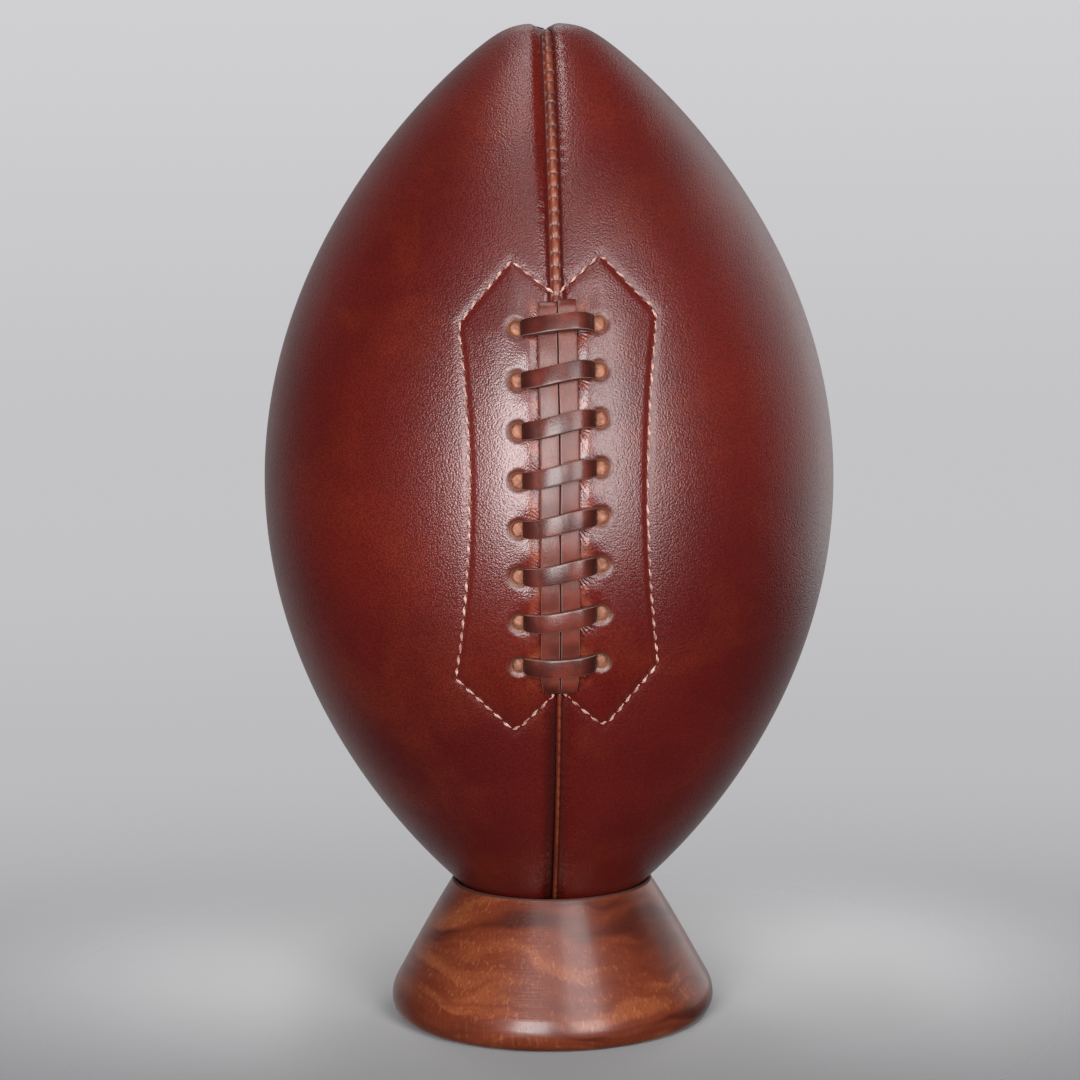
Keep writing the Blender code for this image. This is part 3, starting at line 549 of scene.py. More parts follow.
cut_edge = raw_edge()
plain_hide = chestnut_leather("chestnut_leather", False)
laced_hide = chestnut_leather("laced_chestnut_leather", True)
for end, front, hide in (("front_", -1, laced_hide), ("rear_", 1, plain_hide)):
    for label, side in SIDES:
        panel = make_panel(end + label + "_hide", front, side, (hide, cut_edge))
        fix(panel, "ball", "chestnut_leather", end + label + "_panel")

# The facings. Two pieces of undyed leather, 1.6 mm thick, sewn behind the front panels to carry the
# lace. Their holes sit nearer the slit than the panels', so the pale leather shows in each hole.

FACING, FACING_SHIFT, FACING_EDGE = 1.6, 4.5, 4.3


def beside_slit(offset, height, depth):
    """A place on the front seam: so far to the right of its plane, above the lacing's middle and
    deep under the drawn-in skin."""
    t = (LACE_MIDDLE + height) / HALF
    radius, up = under(t, depth + drawn_in(np.abs(offset), t))
    return np.stack([offset + 0 * radius, -np.sqrt(radius**2 - offset**2), MIDDLE + up], -1)


def natural_leather():
    """Undyed leather: tan, with lighter fibre and small dark marks, and no gloss."""
    material, sockets, place = new_finish("natural_leather", specular_ior_level=0.25)
    fibre = place.noise(700, 4, 0.65)
    colour = fibre.ramp(0.3, 0.72).between((0.150, 0.056, 0.034), (0.270, 0.122, 0.078))
    colour = (place.noise(420, 2).ramp(0.50, 0.70) * 0.7).between(colour, (0.100, 0.034, 0.020))
    feed(sockets, base_color=colour, roughness=0.72 + 0.15 * fibre, normal=(0.25 * fibre).bumps())
    return material


def make_facing(name, side, materials):
    """A sheet under the panel's skin, from beside the slit to past the line of stitches. Its rows are
    straight along the holes and slant to the peaked ends beyond them."""
    holes = hole_heights(side)
    centre = HOLE_OFFSET - FACING_SHIFT
    offset = spread(centre - 2 * HOLE, (centre + 2 * HOLE, 24), (33.5, 12))
    height = spread(holes[0] - 2 * HOLE, *hole_rows(holes))
    offset, height = np.meshgrid(offset, height)
    offset, height, ring = punched(offset, height, centre, holes)
    offset = np.maximum(offset, FACING_EDGE)
    margin = 2.5  # outside the line of stitches
    top, bottom = np.array(facing_ends(side, offset[0])) + [[margin], [-margin]]
    height = height * np.where(offset > 18, np.minimum(1, (np.minimum(top, -bottom) - 0.8) / 60.5), 1)
    share = np.array([[1.0], [0.66], [0.33]])
    height = np.concatenate([height[0] + share * (bottom - height[0]), height,
                             height[-1] + share[::-1] * (top - height[-1])])
    added = (len(share), len(share)), (0, 0)
    offset, ring = np.pad(offset, added, mode="edge"), np.pad(ring, added, constant_values=1.0)
    apart = np.maximum(hole_gap(side, offset, height) + HOLE, 0)
    lift = np.clip(relief(side, offset, height), -0.3, 0.5) + 1.35 * np.exp(-((apart / 2.7) ** 4))
    points = beside_slit(side * offset, height, HIDE + 0.35 - lift)
    facing = shape(name, points, materials, (), cell_means(ring) > 0.5, flip=side < 0)
    thicken(facing, FACING)
    return facing


undyed = natural_leather()
for label, side in SIDES:
    facing = make_facing(label + "_facing_leather", side, (undyed, undyed))
    fix(facing, "ball", "natural_leather", label + "_facing")

# The facing stitches. Two-ply waxed thread in a saddle stitch, one line round each facing at a pitch
# of about 4 mm. Each stitch slants a little and sinks into the leather at both ends.

STITCH, PLY = 3.95, 0.26


def run_along(points):
    """The run along a line of points: the sum of its steps' lengths up to each point."""
    return np.append(0, np.cumsum(np.linalg.norm(np.diff(points, axis=0), axis=1)))


def waxed_thread():
    """Waxed linen thread: a dusty pink cream, darker where it has taken dye from the leather."""
    material, sockets, place = new_finish("waxed_thread", specular_ior_level=0.5)
    stain = place.noise(420, 3, 0.6)
    colour = stain.ramp(0.32, 0.70).between((0.150, 0.052, 0.042), (0.400, 0.245, 0.205))
    fibre = place.noise(5200, 2, 0.6)
    feed(sockets, base_color=colour, roughness=0.42 + 0.2 * fibre, normal=(0.03 * fibre).bumps())
    return material


def unit(vectors):
    """Each vector divided by its own length."""
    return vectors / np.linalg.norm(vectors, axis=-1, keepdims=True)


def outward(place):
    """The way out of the skin, near enough: away from the ball's middle, and less up or down."""
    return unit((place - (0, 0, MIDDLE)) * (1, 1, 0.35))


def two_ply(start, end, out, ply, sunk, twist, rings, corners):
    """Twisted thread over many stitches at once: two round plies that turn about the straight line
    from start to end, bowed out by their own width in the middle and sunk at both ends."""
    share = np.linspace(0, 1, rings)
    side, out = unit(np.cross(out, end - start))[:, None], out[:, None]
    bow = np.sin(np.pi * share)[:, None] ** 0.7 * (1.6 * ply + sunk) - sunk
    path = start[:, None] + (end - start)[:, None] * share[:, None] + out * bow
    wind = (twist * share + np.array([[0.4], [0.4 + np.pi]]))[..., None]
    plies = path[:, None] + 0.85 * ply * (side[:, None] * np.cos(wind) + out[:, None] * np.sin(wind))
    turn = np.linspace(0, 2 * np.pi, corners + 1)[:, None]
    wheel = side[:, None, None] * np.cos(turn) + out[:, None, None] * np.sin(turn)
    thin = ply * np.sin(np.pi * share) ** 0.35
    thin[[0, -1]] = 0
    return plies[:, :, :, None] + thin[:, None, None] * wheel


thread = waxed_thread()
chance = np.random.default_rng(7)
for label, side in SIDES:
    line = facing_line(side)
    run = run_along(line)
    count = int(run[-1] / STITCH)
    ends = np.linspace(0.2, run[-1] - 0.2, count + 1)
    ends = ends + chance.normal(0, 0.12, count + 1)

    def stitch_end(place, shift):
        """The place on the line of stitches, moved off it by so much and lying in its groove."""
        offset, height = np.interp(place, run, line[:, 0]), np.interp(place, run, line[:, 1])
        ahead = unit(np.stack([np.gradient(offset), np.gradient(height)], -1))
        offset, height = offset - ahead[:, 1] * shift, height + ahead[:, 0] * shift
        bent = np.clip((GAP + BEND - offset) / BEND, 0, 0.95)
        drop = 0.4 * BEND * (1 - np.sqrt(1 - bent**2))
        return beside_slit(side * offset, height, drop - relief(side, offset, height) - 0.05)

    wobble, slant = chance.normal(0, 0.07, count), 0.30 * side
    starts = stitch_end(ends[:-1] + 0.05, wobble - slant)
    stops = stitch_end(ends[1:] - 0.05, wobble + slant)
    out = outward((starts + stops) / 2)
    stitches = two_ply(starts, stops, out, PLY, sunk=0.45, twist=5.6, rings=9, corners=5)
    piece = shape(label + "_facing_stitches", stitches, (thread,), closed=True)
    fix(piece, "ball", "waxed_thread", label + "_facing_thread")

# The welts. Narrow strips of lighter leather folded double and sewn in between the panels. Their fold
# shows along each seam as a row of small swellings, because the stitches pinch it at every pass.

# Each seam's name, the side of the ball that it faces, its lower and upper end, and how much of its full
# width the welt shows there.
SEAMS = (
    ("front_upper", (0, -1), (LACE_MIDDLE + SLIT_END - 0.9) / HALF, station(GAP), 0.88),
    ("front_lower", (0, -1), -station(GAP), (LACE_MIDDLE - SLIT_END - 2.3) / HALF, 0.38),
    ("right", (1, 0), -station(0.3), station(0.3), 0.88),
    ("rear", (0, 1), -station(GAP), station(GAP), 0.88),
    ("left", (-1, 0), -station(0.3), station(0.3), 0.88),
)


def welt_leather():
    """Edge leather, waxed: orange brown along its fold, with painted shade that darkens its flanks down
    in the seam and its pinches at the stitches.
    """
    material, sockets, place = new_finish("welt_leather", specular_ior_level=0.5)
    fibre = place.noise(900, 3, 0.6)
    shade = place.noise(40, 3).ramp(0.35, 0.65)
    ridge = shade.between((0.066, 0.0098, 0.0040), (0.130, 0.0245, 0.0068))
    # Painted shade: the flanks, down between the panels, and each pinch are darker than the fold.
    colour = place.layer("ridge").between((0.058, 0.0068, 0.0036), ridge)
    colour = (place.layer("pinch") * 0.75).between(colour, (0.048, 0.0075, 0.0040))
    colour = (fibre.ramp(0.5, 0.8) * 0.4).between(colour, (0.085, 0.016, 0.007))
    feed(sockets, base_color=colour, roughness=0.30 + 0.15 * fibre, normal=(0.10 * fibre).bumps())
    return material


def seam_stations(first, last, step):
    """Places along a seam, evenly apart on the outline, and their run along it from the ball's end."""
    fine = np.sin(np.linspace(np.arcsin(first), np.arcsin(last), 3000))
    run = run_along(np.stack(outline(fine), 1))
    even = np.linspace(0, run[-1], int(run[-1] / step) + 1)
    return np.interp(even, run, fine), even


def stitch_count(run):
    """Stitches of a seam up to this run, as sewn by hand: evenly, give or take a tenth of a stitch."""
    return run / TICK + 0.07 * np.sin(0.83 * run) + 0.03 * np.sin(2.1 * run + 1)


def pinched(run):
    """1 at each stitch of a seam, falling to 0 halfway between two stitches with a sharp foot."""
    return 1 - np.abs(np.cos(np.pi * stitch_count(run))) ** 0.45


def welt_top(run, share):
    """Depth of a welt's fold under the skin: swollen between the stitches, drawn in at each."""
    return 0.62 + 0.90 * share * pinched(run)


def seam_room(t):
    """How much of a welt's full width there is room for between the narrowing quarters; past 1, all."""
    return (outline(t)[0] * np.sin(np.pi / 4) - 0.2) / 2.6


def in_seam(out, reach, aside, height):
    """A place in the seam on this side of the ball: so far out, to one side of the seam's plane, and
    above the ball's middle."""
    x, y = out
    places = np.broadcast_arrays(reach * x - aside * y, reach * y + aside * x, MIDDLE + height)
    return np.stack(places, -1)


def capped(rings):
    """Rings of a strip or tube with one more at each end, drawn together in the end's middle."""
    caps = rings.mean(1, keepdims=True) + 0 * rings
    return np.concatenate([caps[:1], rings, caps[-1:]])


def along_capped(values):
    """A number for each ring of a strip or tube, carried on to the rings that close its ends."""
    return np.pad(values, 1, mode="edge")[:, None]


def make_welt(name, out, first, last, share, material):
    """A section carried along the seam: straight sides up from the seam's depth, flanks pressed against
    the panels' edges and a rounded fold between them, which narrows and sinks at each stitch. The
    section has a share of its full width on this seam."""
    t, run = (values[:, None] for values in seam_stations(first, last, TICK / 12))
    room = share * np.clip(seam_room(t), 0.25, 1)
    across = np.array([1.1, 1.1, 1.8, 2.30, 2.25, 1.95, 1.66, 1.45, 1.12, 0.75, 0.38, 0])
    sink = np.array([4.5, 2.7, 1.6, 0.95, 0.70, 0.62, 0.58, 0.42, 0.20, 0.07, 0.015, 0])
    ridge = np.array([0, 0, 0, 0, 0, 0, 0.15, 0.45, 0.85, 1.0, 1.0, 1.0])
    across, sink = np.append(-across, across[-2::-1]), np.append(sink, sink[-2::-1])
    ridge = np.append(ridge, 0.8 * ridge[-2::-1])
    across, sink, ridge = (np.append(v, v[0]) for v in (across, sink, ridge))
    wide = across * (1 - 0.22 * pinched(run) * (sink < 0.5)) * room * closing(t)
    fold = np.where(np.abs(across) > 1.6, 0.80, welt_top(run, share)) + 1.2 * (1 - closing(t))
    depth = np.minimum(fold + sink, SEAM_DEPTH) + drawn_in(GAP + BEND, t)
    reach, height = under(t, depth)
    points = capped(in_seam(out, np.maximum(reach, 0.3), wide, height))
    # ridge and pinch also carry the welt's painted shade on its flanks and at its pinches.
    layers = {"ridge": ridge, "pinch": along_capped(pinched(run[:, 0]))}
    return shape(name, points, (material,), layers, closed=True)


waxed_edge = welt_leather()
for label, out, first, last, share in SEAMS:
    welt = make_welt(label + "_welt_strip", out, first, last, share, waxed_edge)
    fix(welt, "ball", "raw_edge_leather", label + "_welt")

# The seam stitches. The same waxed thread: a running line inside the ball holds the panels' edges and
# the welt together, and where it comes up it crosses the welt as a small tick, sunk in the pinch.


def make_seam_stitches(name, out, first, last, share, material):
    """Ticks over the welt at every pinch, each a little twisted thread from one panel's edge to the
    other, and the line of thread at the seam's inner edge as one round tube."""
    t, run = seam_stations(first, last, 0.2)
    counts = stitch_count(run)
    places = np.interp(np.arange(0.5, counts[-1] - 0.15), counts, run)
    t_tick = np.interp(places, run, t)
    room = share * np.minimum(1, seam_room(t_tick))

    def tick_end(sign):
        """An end of each tick, at a panel's edge and slightly up or down from the pinch."""
        depth = welt_top(places, share) + 0.55 + 1.2 * (1 - closing(t_tick)) + drawn_in(4.0, t_tick)
        reach, height = under(t_tick + sign * 0.15 / HALF, depth)
        return in_seam(out, reach, 1.3 * sign * room * closing(t_tick), height)

    starts, stops = tick_end(-1), tick_end(1)
    face = outward((starts + stops) / 2)
    ticks = two_ply(starts, stops, face, ply=0.17, sunk=0.0, twist=2.6, rings=6, corners=4)
    piece = shape(name, ticks, (material,), closed=True)
    t = t[::10, None]
    reach, height = under(t, SEAM_DEPTH + 0.8 + drawn_in(0.0, t))
    turn = np.linspace(0, 2 * np.pi, 9)
    tube = in_seam(out, np.maximum(reach, 0.6) + 0.5 * np.cos(turn), 0.5 * np.sin(turn), height)
    inner = shape(name + "_inner", capped(tube), (material,), closed=True)
    return piece, inner


for label, out, first, last, share in SEAMS:
    ticks, inner = make_seam_stitches(label + "_seam_stitches", out, first, last, share, thread)
    fix(ticks, "ball", "waxed_thread", label + "_seam_thread")
    fix(inner, "ball", "waxed_thread", label + "_seam_thread")

# The bladder, its neck and the tie. Thin red rubber, put in through the slit and blown up against the
# panels. The neck is folded up behind the tongue and bound with three turns of linen cord.

RUBBER, NECK_DEPTH, TIE_HEIGHT = 0.9, 11.4, 9.0
DENT_DEPTH, DENT_WIDE, DENT_TALL = 17.9, 20.8, 75.0


def red_rubber():
    """Gum rubber: an even brick red with a bloom of chalk, slightly dimpled."""
    material, sockets, place = new_finish("red_rubber", specular_ior_level=0.4)
    bloom = place.noise(45, 4, 0.6)
    colour = bloom.ramp(0.45, 0.75).between((0.240, 0.042, 0.026), (0.330, 0.105, 0.080))
    dimples = place.noise(900, 2)
    feed(sockets, base_color=colour, roughness=0.46 + 0.25 * bloom, normal=(0.05 * dimples).bumps())
    return material


def make_bladder(material):
    """A closed skin inside the panels: a set depth under the outline, deeper in a ridge along each
    seam and in one long dent behind the lacing, where the tongue and the neck lie."""
    t = np.sin(np.linspace(-np.pi / 2, np.pi / 2, 90))[:, None]
    turn = np.linspace(0, 2 * np.pi, 161)
    radius, height = outline(t)
    from_seam = np.abs((turn + np.pi / 4) % (np.pi / 2) - np.pi / 4)
    ridge = smooth(9.6, 4.8, radius * np.sin(from_seam))
    skin = 3.6
    depth = skin + 4.3 * ridge
    across = np.where(np.sin(turn) < 0, radius * np.abs(np.cos(turn)), RADIUS)
    aside = np.maximum(across / DENT_WIDE - 1, (np.abs(height - LACE_MIDDLE) - DENT_TALL) / DENT_WIDE)
    depth = np.maximum(depth, skin + (DENT_DEPTH - skin) * smooth(1, 0, aside))
    reach, up = under(t, depth)
    reach = np.maximum(reach, 0) * (np.abs(t) < 1 - 1e-9)
    up[[0, -1]] = up[[0, -1]].mean(1, keepdims=True)
    points = np.stack([reach * np.cos(turn), reach * np.sin(turn), MIDDLE + up], -1)
    bladder = shape("bladder_rubber", points, (material,), closed=True)
    thicken(bladder, RUBBER)
    return bladder


def tube_along(path, radii, side, corners=20):
    """Rings of a round tube along a path, each square to it, with its own radius."""
    ahead = unit(np.gradient(path, axis=0))
    side = unit(side - (ahead @ side)[:, None] * ahead)
    turn = np.linspace(0, 2 * np.pi, corners + 1)[:, None]
    wheel = side[:, None] * np.cos(turn) + np.cross(ahead, side)[:, None] * np.sin(turn)
    return path[:, None] + wheel * np.asarray(radii)[:, None, None]


def make_neck(material):
    """A soft tube that leaves the bladder, bends up at once and runs behind the tongue, pinched where
    it is tied. Its wall goes out along the outside and back along the bore."""
    bend = np.linspace(0, np.pi / 2, 9)
    height = np.concatenate([[-21.5], -18 - 3.5 * np.cos(bend), np.linspace(-17, 22, 60)])
    depth = NECK_DEPTH + np.concatenate([[5.6], 3.5 * (1 - np.sin(bend)), np.zeros(60)])
    path = beside_slit(np.zeros(len(height)), height, depth)
    pinch = 1 - 0.5 * smooth(5.4, 3.0, np.abs(height - TIE_HEIGHT))
    outer, bore = (tube_along(path, r * pinch, np.array([1.0, 0, 0])) for r in (2.4, 1.4))
    rings = np.concatenate([outer, bore[::-1], outer[:1]])
    return shape("bladder_neck_rubber", rings, (material,), closed=True)


def make_tie(material):
    """Three turns of cord round the pinch: a helix about the neck's line."""
    turn = np.linspace(0, 6 * np.pi, 120)
    low, high = beside_slit(np.zeros(2), TIE_HEIGHT + np.array([-2.9, 2.9]), NECK_DEPTH)
    along = unit(high - low)
    across = np.array([1.0, 0, 0])
    out = np.cross(across, along)
    spoke = np.cos(turn)[:, None] * across + np.sin(turn)[:, None] * out
    path = (low + high) / 2 + 1.65 * spoke + 1.4 * (turn / (2 * np.pi) - 1.5)[:, None] * along
    rings = tube_along(path, np.full(len(path), 0.4), along, 10)
    return shape("neck_tie_cord", capped(rings), (material,), closed=True)


def linen_cord():
    """Undyed linen: straw coloured, with a fine twist."""
    material, sockets, place = new_finish("linen_cord", specular_ior_level=0.2)
    fibre = place.noise(1800, 3, 0.6)
    colour = fibre.ramp(0.3, 0.7).between((0.380, 0.290, 0.180), (0.620, 0.520, 0.370))
    feed(sockets, base_color=colour, roughness=0.75 + 0.15 * fibre, normal=(0.08 * fibre).bumps())
    return material


rubber = red_rubber()
fix(make_bladder(rubber), "ball", "red_rubber", "bladder")
fix(make_neck(rubber), "ball", "red_rubber", "bladder_neck")
fix(make_tie(linen_cord()), "ball", "linen_cord", "neck_tie")

# The tongue. A strip of undyed leather, 1.5 mm thick, laid behind the slit between the lace and the
# bladder's neck, so that the lace doesn't rub the rubber.

TONGUE, TONGUE_DEPTH, TONGUE_WIDE, TONGUE_TALL = 1.5, 7.2, 20.8, 57.0  # the last two are half sizes

height = np.linspace(-TONGUE_TALL, TONGUE_TALL, 60)[:, None] + np.zeros(24)
offset = np.linspace(-TONGUE_WIDE, TONGUE_WIDE, 24) + 0 * height
tongue = shape("lace_tongue_leather", beside_slit(offset, height, TONGUE_DEPTH), (undyed, undyed))
thicken(tongue, TONGUE)
fix(tongue, "ball", "natural_leather", "lace_tongue")

# The lace. One flat thong of dark bridle leather, 5.8 mm wide and 2 mm thick at its crown. Two lengths
# lie along the slit with their ends tucked in, and the rest winds down over them, through each pair of
# holes and behind.

LACE_WIDE, LACE_THICK = 2.9, 1.0  # half the width and half the thickness
UPRIGHT_DEPTH = -1.05  # the uprights lie on the skin
BAR_REACH, BAR_TURN = HOLE_OFFSET - 2.1, 1.6  # where a bar drops into its hole, and its bend behind it


def lace_leather():
    """Bridle leather: dark brown, burnished on its face with a painted highlight along its corners, grey
    brown on its cut edges, worn to a red brown on the uprights but with painted shade at their bent
    ends, and with painted shade nearly black where it dives into a hole."""
    material, sockets, place = new_finish("dark_lace_leather", specular_ior_level=0.38)
    clouds = place.noise(90, 3, 0.6)
    wear_and_end_shade, edge = place.layer("wear_and_end_shade"), place.layer("edge")
    colour = clouds.ramp(0.35, 0.70).between((0.036, 0.0060, 0.0042), (0.082, 0.0145, 0.0090))
    worn = clouds.ramp(0.30, 0.65).between((0.074, 0.0140, 0.0088), (0.138, 0.0295, 0.0165))
    colour = wear_and_end_shade.between(colour, worn)
    colour = edge.ramp(0.35, 0.9).between(colour, (0.040, 0.017, 0.0135))
    # Painted shade: the bars turn nearly black towards their ends, where they dive into the holes.
    colour = (place.layer("painted_dive_shade") * 0.7).between(colour, (0.016, 0.0036, 0.0027))
    # Painted highlight: a pale line along both corners of the face.
    colour = (place.layer("corner") * 0.55).between(colour, (0.230, 0.130, 0.105))
    grain = place.noise(1700, 3, 0.6)
    along, across = place.layer("along") * 0.5, place.layer("across") * 9
    scratch = place.node("CombineXYZ", (), {0: along, 1: across}).noise(1.0, 3, 0.6)
    feed(sockets, base_color=colour, roughness=0.23 + 0.10 * grain + 0.19 * wear_and_end_shade + 0.2 * edge,
         normal=((0.03 + 0.05 * wear_and_end_shade) * grain + 0.04 * scratch).bumps())
    return material


def strap(path, up, wide):
    """A flat thong along a path: a slightly crowned face, small corners and square edges, with its
    width turned towards up, and closed at both ends. Also gives what its material reads: the run
    along the thong, the share across it, and how much of an edge or a corner each place is."""
    ahead = unit(np.gradient(path, axis=0))
    up = unit(up - (up * ahead).sum(1, keepdims=True) * ahead)
    face = np.cross(ahead, up)
    x = np.array([1, 1, 0.97, 0.91, 0.78, 0.45, 0.15])
    y = np.array([-0.75, 0.60, 0.79, 0.87, 0.91, 0.97, 1])
    x, y = np.append(x, -x[::-1]), np.append(y, y[::-1])
    x, y = np.append(x, [-0.96, -0.4, 0.4, 0.96, 1]), np.append(y, [-1, -1, -1, -1, -0.75])
    edge = np.where((np.abs(x) > 0.98) | (y < 0), 1.0, np.where(np.abs(x) > 0.95, 0.5, 0.0))
    # corner marks where the painted highlight goes.
    corner = np.where((np.abs(x) > 0.95) & (np.abs(x) < 0.98) & (y > 0), 1.0, 0.0)
    across, lift = (wide[:, None] * x)[..., None], (y * LACE_THICK)[:, None]
    points = path[:, None] + up[:, None] * across + face[:, None] * lift
    layers = {"along": along_capped(run_along(path)), "across": x, "edge": edge, "corner": corner}
    return capped(points), layers


thong = lace_leather()
bars = hole_heights(0)
for label, side in SIDES:
    turn = np.linspace(0, np.pi / 2, 9)[1:]
    end = np.append(np.stack([np.sin(turn), 1.9 * (1 - np.cos(turn))], -1), [[1.0, 3.0], [1.0, 5.7]], 0)
    high, low, high_bend, low_bend = 59.3 - 0.7 * (side < 0), -61.4, 2.4, 3.4
    upper = end * (high_bend, 1) + (high - high_bend, UPRIGHT_DEPTH)
    lower = end[::-1] * (-low_bend, 1) + (low + low_bend, UPRIGHT_DEPTH)
    run = np.linspace(lower[-1, 0], upper[0, 0], 202)[1:-1, None]
    run = np.append(run, UPRIGHT_DEPTH + 0 * run, 1)
    height, depth = np.concatenate([lower, run, upper]).T
    pressed = np.cos(2 * np.pi * np.interp(height, bars, np.arange(ROWS)))
    lift = np.where(np.abs(height) < 54, 0.14 * (1 - pressed), 0)
    narrow = LACE_WIDE * (1 - 0.12 * smooth(-55, -61, height))
    sway = (0.08 * np.sin(height / 9) + 0.04 * np.sin(height / 3.1)) * smooth(60, 50, np.abs(height))
    path = beside_slit(side * (narrow + 0.07) + sway, height, depth - lift)
    up = np.tile((-1.0, -0.15 * side, 0), (len(path), 1))
    points, layers = strap(path, up, narrow)
    # Wear on the uprights, more where the bars cross them and less towards the bottom, falls away at
    # both ends, which leaves painted shade where they bend down into the slit.
    wear_and_end_shade = (0.42 + 0.4 * smooth(0.1, 0.9, pressed)) * smooth(59.0, 55.0, np.abs(height + 0.6))
    wear_and_end_shade = wear_and_end_shade * (0.75 + 0.25 * smooth(-25, 10, height))
    layers["wear_and_end_shade"], layers["painted_dive_shade"] = along_capped(wear_and_end_shade), 0.0
    piece = shape(label + "_upright_thong", points, (thong,), layers, closed=True)
    fix(piece, "ball", "dark_lace_leather", label + "_upright_lace")


def bar_run(side):
    """Half of a bar, from the slit out over an upright, down into a hole and back under the facing, as
    offset, depth and share of the full width: an arch that is highest a little right of the slit, a
    bend, a drop, a quarter round and a straight run. Also gives the steps to the end of the drop."""
    deep, shoulder, brink, narrow, eased = 5.96, 6.3, 0.7, 0.82, 0.95
    arch = np.linspace(0, shoulder, 13)
    over = np.stack([arch, -3.85 + (arch - 1.8 * side) ** 2 / 36, np.ones(13)], -1)
    share = np.linspace(0, 1, 15)[1:, None]
    start, end = over[-1, :2], np.array([BAR_REACH, brink])
    knee = np.array([BAR_REACH, start[1] + 0.35 * (BAR_REACH - shoulder)])
    dive = (1 - share) ** 2 * start + 2 * share * (1 - share) * knee + share**2 * end
    dive = np.append(dive, 1 - (1 - narrow) * share**2, 1)
    fall = np.linspace(brink, deep - BAR_TURN, 5)[1:]
    drop = np.stack([np.full(4, BAR_REACH), fall, np.full(4, narrow)], -1)
    turn = np.linspace(0, np.pi / 2, 7)[1:]
    inwards, down = BAR_TURN * (1 - np.cos(turn)), BAR_TURN * (1 - np.sin(turn))
    wide = narrow + (eased - narrow) * turn / turn[-1]
    rounded = np.stack([BAR_REACH - inwards, deep - down, wide], -1)
    back = np.linspace(BAR_REACH - BAR_TURN, 0, 10)[1:]
    behind = np.stack([back, np.full(9, deep), np.full(9, eased)], -1)
    return np.concatenate([over, dive, drop, rounded, behind]), len(over) + len(dive) + len(drop)


(left, outer), (right, outer) = bar_run(-1), bar_run(1)
step = np.arange(1 - len(left), len(left))
first_half, step = step < 0, np.abs(step)
offset, depth, wide = np.concatenate([left[:0:-1] * (-1, 1, 1), right]).T
left, right = hole_heights(-1)[::-1], hole_heights(1)[::-1]
heights = []
for row in range(ROWS):
    over = left[row] + (right[row] - left[row]) * smooth(-BAR_REACH, BAR_REACH, offset)
    near = np.where(first_half, left[row], right[row])
    other = np.where(first_half, right[row - 1] if row else left[row], left[min(row + 1, ROWS - 1)])
    behind = near + (other - near) * smooth(0, 2, 1 - np.abs(offset) / (BAR_REACH - BAR_TURN))
    heights.append(np.where(step < outer, over, behind))
height = np.concatenate(heights)
offset, depth, wide, step = (np.tile(v, ROWS) for v in (offset, depth, wide, step))
path = beside_slit(offset, height, depth)
up = beside_slit(offset, height + 0.5, depth) - beside_slit(offset, height - 0.5, depth)
out = beside_slit(offset, height, depth - 0.5) - beside_slit(offset, height, depth + 0.5)
lean = np.where(height > 0, 0.20, -0.12) * (height / 52) * smooth(outer, 10, step)
points, layers = strap(path, up - lean[:, None] * out, wide * LACE_WIDE)
# The bars' painted shade grows towards their ends, where they dive into the holes.
layers["wear_and_end_shade"], layers["painted_dive_shade"] = 0.0, along_capped(smooth(6.0, 9.6, np.abs(offset)))
cross = shape("cross_thong", points, (thong,), layers, closed=True)
fix(cross, "ball", "dark_lace_leather", "cross_lace")

# The stand. One block of figured red-brown hardwood, turned to a cone with a rounded foot, hollowed to
# the ball's end, and polished.


def figured_wood():
    """Polished hardwood: upright fibre with dark pores and pale flecks, broad wavy bands of figure
    across it, the fine rings that the turning left, a clear polish, and painted shade in the dull
    hollow that holds the ball."""
    material, sockets, place = new_finish("polished_wood", coat_roughness=0.19, specular_ior_level=0.25)
    warp = place.stretched(24, 24, 34).noise(1.0, 2, 0.5)
    bands, wave = place.stretched(15, 15, 110), place.node("CombineXYZ", (), {2: 3.2 * warp + 1.8})
    wavy = place.node("VectorMath", {"operation": "ADD"}, {0: bands, 1: wave})
    figure = wavy.noise(1.0, 3, 0.5, 0.3)
    fibre = place.stretched(1, 1, 0.10).noise(1300, 3, 0.6)
    flecks = place.stretched(1, 1, 0.13).noise(950, 2, 0.55).ramp(0.55, 0.70)
    pores = place.stretched(1, 1, 0.16).noise(2200, 1, 0.5).ramp(0.60, 0.74)
    colour = figure.ramp(0.34, 0.52).between((0.033, 0.0050, 0.0025), (0.087, 0.0160, 0.0061))
    colour = figure.ramp(0.51, 0.68).between(colour, (0.143, 0.0365, 0.0132))
    colour = (fibre.ramp(0.42, 0.75) * 0.45).between(colour, (0.055, 0.0100, 0.0042))
    colour = (flecks * figure.ramp(0.40, 0.60) * 0.38).between(colour, (0.225, 0.078, 0.033))
    colour = (pores * 0.7).between(colour, (0.045, 0.009, 0.0045))
    # Painted shade: the hollow under the ball is darker; it is also rougher and has no polish.
    inner = place.layer("inner")
    colour = inner.between(colour, (0.036, 0.0085, 0.0048))
    rings = place.stretched(0.02, 0.02, 1).noise(2000, 2, 0.6)
    feed(sockets, base_color=colour, roughness=0.28 + 0.15 * fibre - 0.06 * figure + 0.4 * inner,
         coat_weight=0.26 * (1 - inner),
         normal=(0.07 * rings + 0.02 * fibre - 0.03 * pores).bumps(0.7))
    return material


